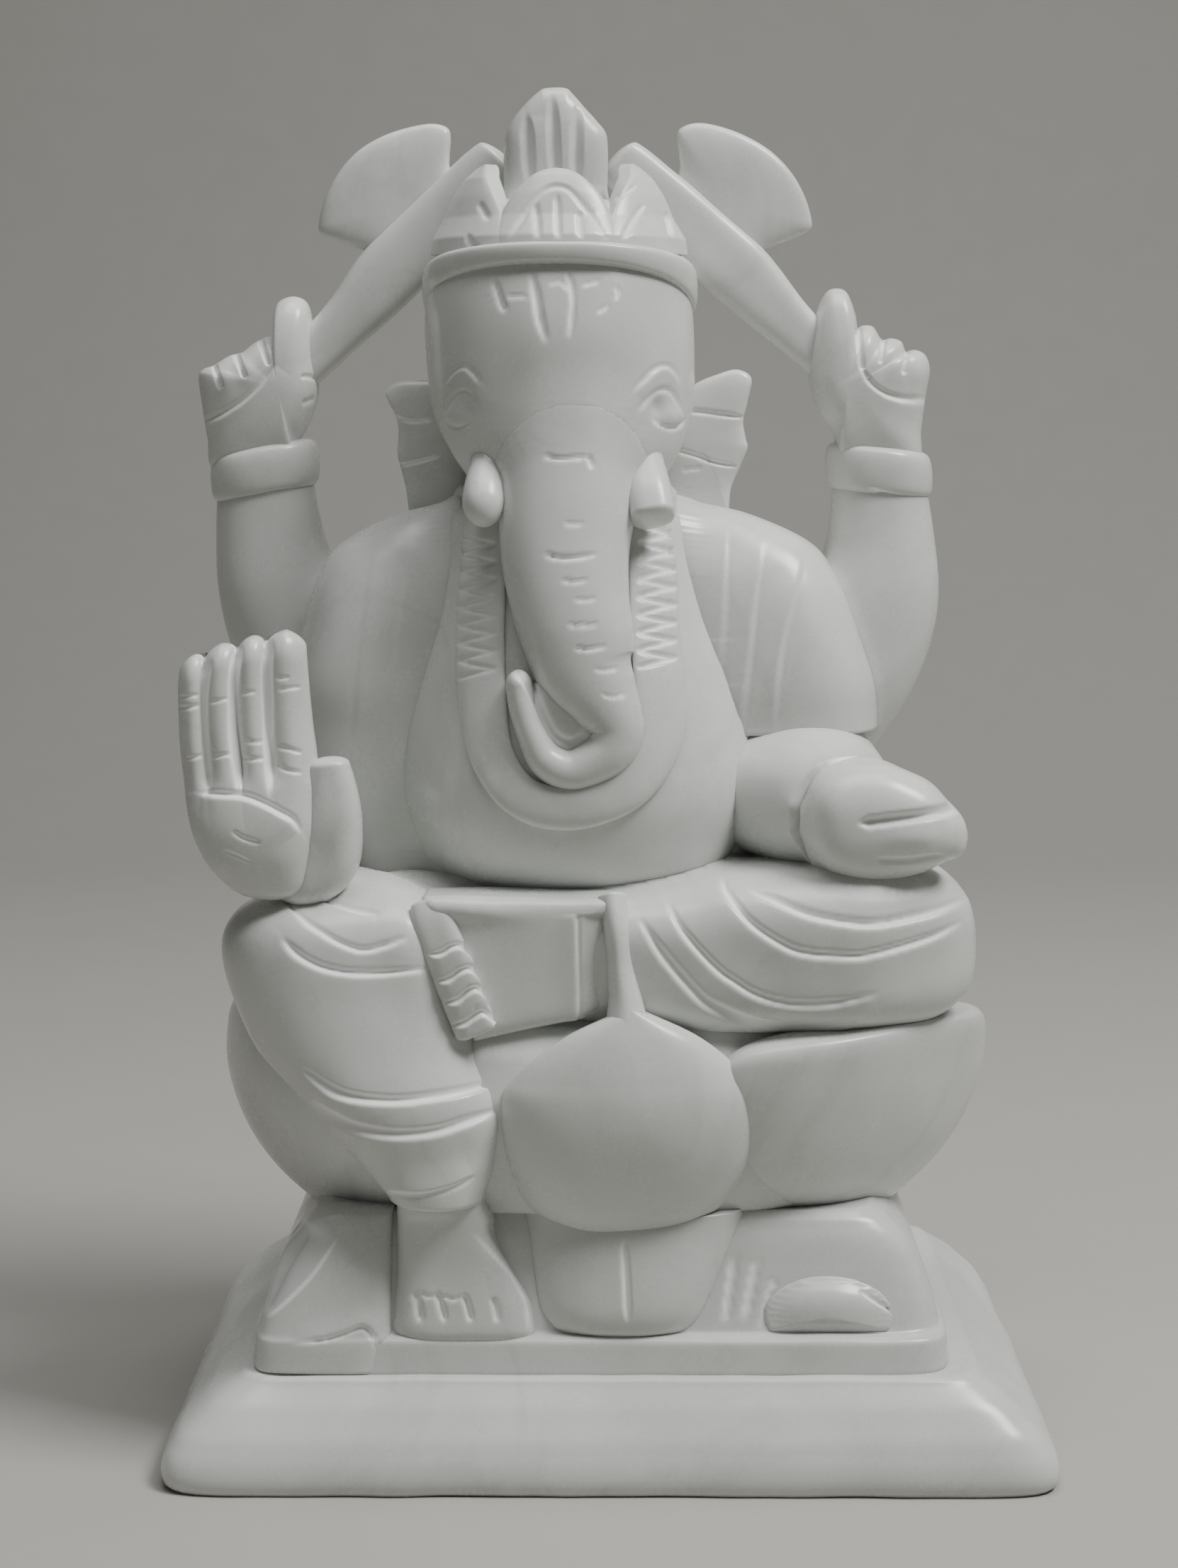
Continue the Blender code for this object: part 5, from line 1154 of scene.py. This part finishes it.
FIST_LINES = (
    cut(5.0, 0.75, (302, 516), (307, 530), (312, 546), taper=0.05, white=0.5),
    cut(5.0, 0.75, (332, 498), (339, 515), (346, 533), taper=0.05, white=0.5),
    cut(5.0, 0.75, (367, 477), (373, 496), (380, 515), taper=0.05, white=0.5),
    cut(6.0, 0.45, (286, 596), (315, 582), (345, 562), (368, 540), (386, 514), lip=0.35, white=0.4),
    cut(4.0, 0.45, (424, 532), (434, 531), (446, 534), white=0.6),
    cut(4.0, 0.45, (426, 568), (434, 566), (444, 561), white=0.6),
    cut(6.0, 0.55, (1211, 462), (1213, 488), (1217, 522), taper=0.05, white=0.5),
    cut(5.0, 0.60, (1246, 478), (1245, 494), (1242, 512), taper=0.1, white=0.5),
    cut(5.0, 0.60, (1280, 494), (1278, 510), (1275, 528), taper=0.1, white=0.5),
    cut(6.0, 0.45, (1216, 520), (1230, 541), (1252, 556), (1280, 563), (1308, 562), lip=0.35, white=0.4),
)
FIST_DABS = (
    (317, 535, 12, 22, 0.3, 0), (350, 520, 12, 22, 0.3, 0), (294, 550, 10, 22, 0.2, 0),
    (1229, 492, 12, 22, 0.25, 0), (1262, 510, 12, 22, 0.25, 0), (1295, 524, 11, 22, 0.25, 0),
)
BRACELET_LINES = (
    cut(4.0, 0.35, (322, 706), (345, 703), (372, 697), (412, 689)),
    cut(4.0, 0.35, (1222, 688), (1248, 697), (1272, 704), (1302, 709)),
)

DRAPE_LINES = (
    cut(5.0, 0.14, (1030, 745), (1027, 800), (1024, 880), (1016, 975), lip=0.30, white=0.25, taper=0.3),
    cut(5.0, 0.16, (1082, 760), (1068, 850), (1062, 910), (1054, 980), (1047, 1032), lip=0.35, white=0.3, taper=0.3),
    cut(5.0, 0.16, (1138, 780), (1119, 860), (1108, 905), (1100, 960), (1096, 1030), lip=0.35, white=0.3, taper=0.3),
    cut(5.0, 0.10, (524, 775), (512, 870), (502, 960), (496, 1050), lip=-0.25, white=0.1, taper=0.3),
    cut(5.0, 0.10, (572, 760), (562, 860), (552, 950), (546, 1060), lip=-0.25, white=0.1, taper=0.3),
)
CROWN_LINES = (
    cut(4.5, 0.45, (718, 336), (735, 310), (752, 286), (768, 268), (785, 262), (804, 268), (828, 296), (858, 340), white=0.5),
    cut(6.0, 0.50, (753, 282), (757, 306), (759, 336), white=0.5),
    cut(6.0, 0.50, (786, 274), (787, 305), (788, 336), white=0.4),
    cut(6.0, 0.45, (818, 298), (819, 316), (821, 336), white=0.4),
    cut(6.0, 0.40, (676, 286), (682, 298), (690, 310), white=0.5),
    cut(5.0, 0.45, (658, 330), (664, 344), (676, 350), white=0.6),
    cut(6.0, 0.50, (939, 300), (944, 316), (948, 332), white=0.8),
    cut(5.0, 0.45, (908, 288), (894, 310), (880, 336), white=0.5),
    cut(4.0, 0.35, (868, 282), (882, 272), (898, 262), white=0.5),
)
PEAK_LINES = (
    cut(11.0, 0.60, (743, 164), (745, 205), (748, 262), taper=0.3, lip=-0.3, white=0.2),
    cut(11.0, 0.60, (779, 138), (781, 195), (785, 262), taper=0.3, lip=-0.3, white=0.2),
    cut(11.0, 0.60, (813, 152), (813, 205), (814, 262), taper=0.3, lip=-0.3, white=0.2),
)
PLINTH_LINES = (
    cut(7.0, 0.70, (1036, 1770), (1030, 1810), (1022, 1866)),
    cut(7.0, 0.60, (1066, 1776), (1060, 1810), (1050, 1862)),
    cut(5.0, 0.45, (1092, 1800), (1082, 1835), (1074, 1876)),
)
CORNER_LINES = (
    cut(4.0, 0.20, (476, 1748), (440, 1800), (402, 1838), (376, 1858), bevel=0.045),
    cut(4.5, 0.45, (415, 1894), (455, 1890), (490, 1880), (512, 1872), (528, 1888), (541, 1912), lip=-0.5),
)
FOOT_LINES = (
    cut(4.0, 0.20, (668, 1740), (700, 1775), (726, 1806), (742, 1840), (748, 1886), bevel=-0.05),
)
LOWER_PETAL_LINES = (
    cut(7.0, 0.80, (880, 1752), (883, 1800), (886, 1862)),
)
MOUND_LINES = (
    cut(4.5, 0.50, (1214, 1820), (1240, 1838), (1272, 1856)),
    cut(4.5, 0.50, (1234, 1772), (1250, 1781), (1261, 1798), (1265, 1814)),
)


# Operators


class IDOL_OT_base(bpy.types.Operator):
    """Carve the base slab and the plinth with its ledge"""

    bl_idname = "idol.carve_base"
    bl_label = "Base"

    def execute(self, context):
        carve(context, "base_slab", [base_form().grid(1.5 * COARSE)])
        carve(context, "plinth", [plinth_form().grid(0.6, 0.5)], PLINTH_LINES)
        return {"FINISHED"}


class IDOL_OT_lower_petals(bpy.types.Operator):
    """Carve the lower petals on the plinth's front"""

    bl_idname = "idol.carve_lower_petals"
    bl_label = "Lower Petals"

    def execute(self, context):
        wall = [(plinth_form(), 2.0)]
        carve(context, "lower_petal_front", [lower_petal_front_form().grid(FINE, 0.3)], LOWER_PETAL_LINES, joins=wall)
        carve(context, "lower_petal_left", [lower_petal_left_form().grid(FINE, 0.3)], CORNER_LINES)
        mound = lens(arch_outline(36.4, 23.2, 13.2, 9.8), -33.0, 13.4, 2.3)
        carve(context, "lower_petal_right", [mound], MOUND_LINES, joins=wall)
        return {"FINISHED"}


class IDOL_OT_lotus(bpy.types.Operator):
    """Carve the lotus cup and its six petals"""

    bl_idname = "idol.carve_lotus"
    bl_label = "Lotus"

    def execute(self, context):
        carve(context, "lotus_cup", [cup_form().grid(COARSE)])
        for side, (outline, angle, spread, height, flare, lean) in PETALS.items():
            carve(context, "lotus_petal_" + side, [petal(outline, angle, spread, height, flare, lean)])
        return {"FINISHED"}


class IDOL_OT_legs(bpy.types.Operator):
    """Carve the raised left leg with its foot, and the folded right leg"""

    bl_idname = "idol.carve_legs"
    bl_label = "Legs"

    def execute(self, context):
        thigh, shin, foot = left_thigh_form(), left_shin_form(), left_foot_form()
        grid = thigh.grid(FINE, 0.4)
        carve(context, "left_thigh", [grid], LEFT_KNEE_LINES, KNEE_DABS, [(shin, 9.0), (belly_form(), 3.0)])
        grid = shin.grid(FINE, 0.4)
        carve(context, "left_shin", [grid], LEFT_KNEE_LINES, KNEE_DABS, [(thigh, 9.0), (foot, 2.0)])
        carve(context, "left_foot", [foot.grid(FINE, 0.3)], TOE_LINES + FOOT_LINES, joins=[(shin, 2.0)])
        carve(context, "right_leg", [right_leg_form().grid(FINE, 0.4)], RIGHT_LEG_LINES, joins=[(belly_form(), 4.0), (front_hand_right_form(), 4.0)])
        return {"FINISHED"}


class IDOL_OT_lap_cloth(bpy.types.Operator):
    """Carve the apron, the scalloped sash and the pleat in the lap"""

    bl_idname = "idol.carve_lap_cloth"
    bl_label = "Lap Cloth"

    def execute(self, context):
        carve(context, "apron", [lens(apron_outline(), -30.4, 15.0, 9.0)], APRON_LINES, LAP_DABS)
        carve(context, "sash", [sash_form().grid(0.2)], SASH_LINES)
        carve(context, "pleat", [pleat_form().grid(FINE)])
        return {"FINISHED"}


class IDOL_OT_body(bpy.types.Operator):
    """Carve the torso, the belly, the shoulder drapes and the garland"""

    bl_idname = "idol.carve_body"
    bl_label = "Body"

    def execute(self, context):
        torso, belly = torso_form(), belly_form()
        drapes = {"left": drape_form(-1), "right": drape_form(1)}
        carve(context, "torso", [torso.grid(COARSE)], joins=[(belly, 4.0)])
        carve(context, "belly", [belly.grid(COARSE, 0.3)], joins=[(drapes["left"], 8.0), (drapes["right"], 8.0)])
        for side, form in drapes.items():
            carve(context, "shoulder_drape_" + side, [form.grid(MEDIUM, 0.2)], DRAPE_LINES, joins=[(belly, 8.0)])
        carve(context, "garland", [garland()], GARLAND_LINES)
        return {"FINISHED"}


class IDOL_OT_front_arms(bpy.types.Operator):
    """Carve the front arms, the raised left hand and the resting right hand"""

    bl_idname = "idol.carve_front_arms"
    bl_label = "Front Arms"

    def execute(self, context):
        thumb, hand = thumb_form(), front_hand_right_form()
        left, right = front_arm_left_form(), front_arm_right_form()
        carve(context, "front_arm_left", [left.grid(COARSE)])
        carve(context, "front_hand_left", [raised_hand(), thumb.grid(FINE)], PALM_LINES, PALM_DABS)
        carve(context, "front_arm_right", [right.grid(COARSE)], joins=[(hand, 4.0), (belly_form(), 8.0)])
        carve(context, "front_hand_right", [hand.grid(FINE, 0.2)], HAND_LINES, HAND_DABS, [(right, 4.0)])
        return {"FINISHED"}


class IDOL_OT_rear_arms(bpy.types.Operator):
    """Carve the rear arms with their bracelets and fists"""

    bl_idname = "idol.carve_rear_arms"
    bl_label = "Rear Arms"

    def execute(self, context):
        for side, sign in (("left", -1), ("right", 1)):
            carve(context, "rear_arm_" + side, [rear_arm_form(sign).grid(COARSE)], joins=[(drape_form(sign), 2.0)])
            carve(context, "bracelet_" + side, [bracelet_form(sign).grid(FINE)], BRACELET_LINES)
            carve(context, "fist_" + side, [fist(side)], FIST_LINES, FIST_DABS)
        return {"FINISHED"}


class IDOL_OT_axes(bpy.types.Operator):
    """Carve the two axes"""

    bl_idname = "idol.carve_axes"
    bl_label = "Axes"

    def execute(self, context):
        for side, sign in (("left", -1), ("right", 1)):
            carve(context, "axe_handle_" + side, [axe_handle_form(sign).grid(MEDIUM)])
            carve(context, "axe_blade_" + side, [axe_blade(sign)])
        return {"FINISHED"}


class IDOL_OT_head(bpy.types.Operator):
    """Carve the head, the trunk, the tusks and the ears"""

    bl_idname = "idol.carve_head"
    bl_label = "Head"

    def execute(self, context):
        head, trunk, tusks = head_form(), trunk_form(), tusk_forms()
        carve(context, "head", [head.grid(FINE, 0.45)], FOREHEAD_LINES + EYE_LINES, FACE_DABS, [(trunk, 4.0)])
        grids = [trunk.grid(FINE, 0.25), curl_floor()]
        carve(context, "trunk", grids, TRUNK_LINES + CURL_LINES, FACE_DABS, [(head, 4.0)])
        for side, form in tusks.items():
            carve(context, "tusk_" + side, [form.grid(FINE)], joins=[(head, 1.5)])
        for side, outline, centre in (("left", EAR_LEFT, (-31.0, 169.5)), ("right", EAR_RIGHT, (16.5, 169.5))):
            plate = lens(smooth(outline, 220, closed=True), 7.0, 6.0, 4.0, centre=centre)
            carve(context, "ear_" + side, [plate], EAR_LINES)
        return {"FINISHED"}


class IDOL_OT_crown(bpy.types.Operator):
    """Carve the crown: band, cap, three teeth and the fluted peak"""

    bl_idname = "idol.carve_crown"
    bl_label = "Crown"

    def execute(self, context):
        carve(context, "crown_band", [crown_band()])
        carve(context, "crown_cap", [crown_cap_form().grid(MEDIUM, 0.2)], CROWN_LINES)
        for side, tooth in TEETH.items():
            carve(context, "crown_tooth_" + side, [crown_tooth(*tooth)], CROWN_LINES)
        carve(context, "crown_peak", [crown_peak()], PEAK_LINES)
        return {"FINISHED"}


class IDOL_OT_stage(bpy.types.Operator):
    """Set the floor, the soft light and the photograph's camera"""

    bl_idname = "idol.set_stage"
    bl_label = "Stage"

    def execute(self, context):
        stage = context.scene.idol_stage
        add_floor(context, stage)
        add_light(context, "key", (0.52, -0.26, 0.96), 0.34, stage.key_power)
        add_light(context, "fill", (-0.75, -0.55, 0.45), 0.90, stage.fill_power)
        add_light(context, "top", (0.00, -0.10, 1.00), 0.60, stage.top_power)
        air = bpy.data.worlds.new("air")
        air.use_nodes = True
        background = air.node_tree.nodes["Background"]
        background.inputs["Color"].default_value = (*stage.air_colour, 1.0)
        background.inputs["Strength"].default_value = stage.air_strength
        context.scene.world = air
        add_camera(context)
        return {"FINISHED"}


def add_floor(context, stage):
    """A level sheet that bends up to a wall behind: its height is 0, then a quarter circle, then a line."""
    bend = 0.45
    turn = np.linspace(0, math.pi / 2, 24)
    run = np.concatenate([[-1.6], 0.55 + bend * np.sin(turn), [0.55 + bend]])
    rise = np.concatenate([[0.0], bend * (1 - np.cos(turn)), [2.2]])
    across = np.linspace(-2.4, 2.4, 13)
    x, y = np.meshgrid(across, run)
    z = np.meshgrid(across, rise)[1]
    index = np.arange(x.size).reshape(x.shape)
    quads = np.stack([index[:-1, :-1], index[:-1, 1:], index[1:, 1:], index[1:, :-1]], axis=2).reshape(-1, 4)
    mesh = bpy.data.meshes.new("floor")
    mesh.from_pydata(np.stack([x, y, z], axis=2).reshape(-1, 3).tolist(), [], quads.tolist())
    mesh.shade_smooth()
    floor = bpy.data.objects.new("floor", mesh)
    context.scene.collection.objects.link(floor)
    mesh.materials.append(floor_paper(stage))


def floor_paper(stage):
    """Matt paper with a faint mottle."""
    material = bpy.data.materials.new("floor_paper")
    shader = Shader(material)
    place = shader.add("ShaderNodeTexCoord", {}, {}, "Object")
    mottle = shader.noise(place, 60.0, 4.0)
    pale = (*stage.floor_colour, 1.0)
    darker = (*(0.94 * channel for channel in stage.floor_colour), 1.0)
    shader.feed(shader.surface.inputs["Base Color"], shader.mixed(mottle, pale, darker))
    shader.feed(shader.surface.inputs["Roughness"], 0.75 + mottle * 0.15)
    return material


def add_light(context, name, place, size, power):
    """A square soft light that looks at the idol's middle."""
    light = bpy.data.lights.new(name, "AREA")
    light.size = size
    light.energy = power
    lamp = bpy.data.objects.new(name, light)
    lamp.location = place
    aim = Vector((0, 0, 0.12)) - Vector(place)
    lamp.rotation_euler = aim.to_track_quat("-Z", "Y").to_euler()
    context.scene.collection.objects.link(lamp)


def add_camera(context):
    camera = bpy.data.cameras.new("photo_camera")
    camera.sensor_width = 36.0
    camera.lens = camera.sensor_width * PHOTO_FOCUS / PHOTO_HEIGHT
    viewer = bpy.data.objects.new("photo_camera", camera)
    viewer.location = CAMERA_PLACE
    viewer.rotation_euler = CAMERA_TURN
    context.scene.collection.objects.link(viewer)
    context.scene.camera = viewer


# Settings and panel


class IdolCarving(bpy.types.PropertyGroup):
    groove_depth: FloatProperty(name="Groove Depth", description="Depth of every chisel line, as a share of its own", default=1.0, min=0.0)
    hand_waver: FloatProperty(name="Hand Waver", description="Unevenness of the carver's hand", default=0.00016, min=0.0, unit="LENGTH")


class IdolMarble(bpy.types.PropertyGroup):
    clear_colour: FloatVectorProperty(name="Clear Stone", description="Colour of the clear marble", default=(0.68, 0.695, 0.67), subtype="COLOR")
    cloud_colour: FloatVectorProperty(name="Clouds", description="Colour of the cloudy marble", default=(0.60, 0.615, 0.585), subtype="COLOR")
    vein_colour: FloatVectorProperty(name="Veins", description="Colour of the faint veins", default=(0.53, 0.54, 0.52), subtype="COLOR")
    chisel_colour: FloatVectorProperty(name="Cut Stone", description="Colour of the bare stone in a cut", default=(0.97, 0.98, 0.96), subtype="COLOR")
    polish: FloatProperty(name="Polish", description="Roughness of the polished stone", default=0.26, min=0.0, max=1.0, subtype="FACTOR")
    chisel_roughness: FloatProperty(name="Cut Roughness", description="Roughness that a cut adds", default=0.40, min=0.0, max=1.0, subtype="FACTOR")
    glow: FloatProperty(name="Glow", description="Share of the light that passes under the surface", default=0.35, min=0.0, max=1.0, subtype="FACTOR")
    glow_depth: FloatProperty(name="Glow Depth", description="How far light passes under the surface", default=0.0012, min=0.0, unit="LENGTH")


class IdolStage(bpy.types.PropertyGroup):
    floor_colour: FloatVectorProperty(name="Floor", description="Colour of the floor", default=(0.40, 0.39, 0.36), subtype="COLOR")
    air_colour: FloatVectorProperty(name="Air", description="Colour of the light from all round", default=(0.50, 0.51, 0.50), subtype="COLOR")
    air_strength: FloatProperty(name="Air Strength", description="Strength of the light from all round", default=0.08, min=0.0)
    key_power: FloatProperty(name="Key Light", description="Power of the light at the upper right", default=11.4, min=0.0, unit="POWER")
    fill_power: FloatProperty(name="Fill Light", description="Power of the light at the left", default=0.36, min=0.0, unit="POWER")
    top_power: FloatProperty(name="Top Light", description="Power of the light overhead", default=5.2, min=0.0, unit="POWER")


STEPS = (
    IDOL_OT_base,
    IDOL_OT_lower_petals,
    IDOL_OT_lotus,
    IDOL_OT_legs,
    IDOL_OT_lap_cloth,
    IDOL_OT_body,
    IDOL_OT_front_arms,
    IDOL_OT_rear_arms,
    IDOL_OT_axes,
    IDOL_OT_head,
    IDOL_OT_crown,
    IDOL_OT_stage,
)


class IDOL_PT_steps(bpy.types.Panel):
    bl_label = "Marble Idol"
    bl_idname = "IDOL_PT_steps"
    bl_space_type = "VIEW_3D"
    bl_region_type = "UI"
    bl_category = "Idol"

    def draw(self, context):
        for settings in (context.scene.idol_carving, context.scene.idol_marble, context.scene.idol_stage):
            box = self.layout.box()
            for name in settings.bl_rna.properties.keys():
                if name not in ("rna_type", "name"):
                    box.prop(settings, name)
        for step in STEPS:
            self.layout.operator(step.bl_idname)


CLASSES = (IdolCarving, IdolMarble, IdolStage, *STEPS, IDOL_PT_steps)


def register():
    for item in CLASSES:
        bpy.utils.register_class(item)
    bpy.types.Scene.idol_carving = PointerProperty(type=IdolCarving)
    bpy.types.Scene.idol_marble = PointerProperty(type=IdolMarble)
    bpy.types.Scene.idol_stage = PointerProperty(type=IdolStage)


def unregister():
    del bpy.types.Scene.idol_stage
    del bpy.types.Scene.idol_marble
    del bpy.types.Scene.idol_carving
    for item in reversed(CLASSES):
        bpy.utils.unregister_class(item)


def main():
    register()
    for step in STEPS:
        group, name = step.bl_idname.split(".")
        getattr(getattr(bpy.ops, group), name)()


if __name__ == "__main__":
    main()
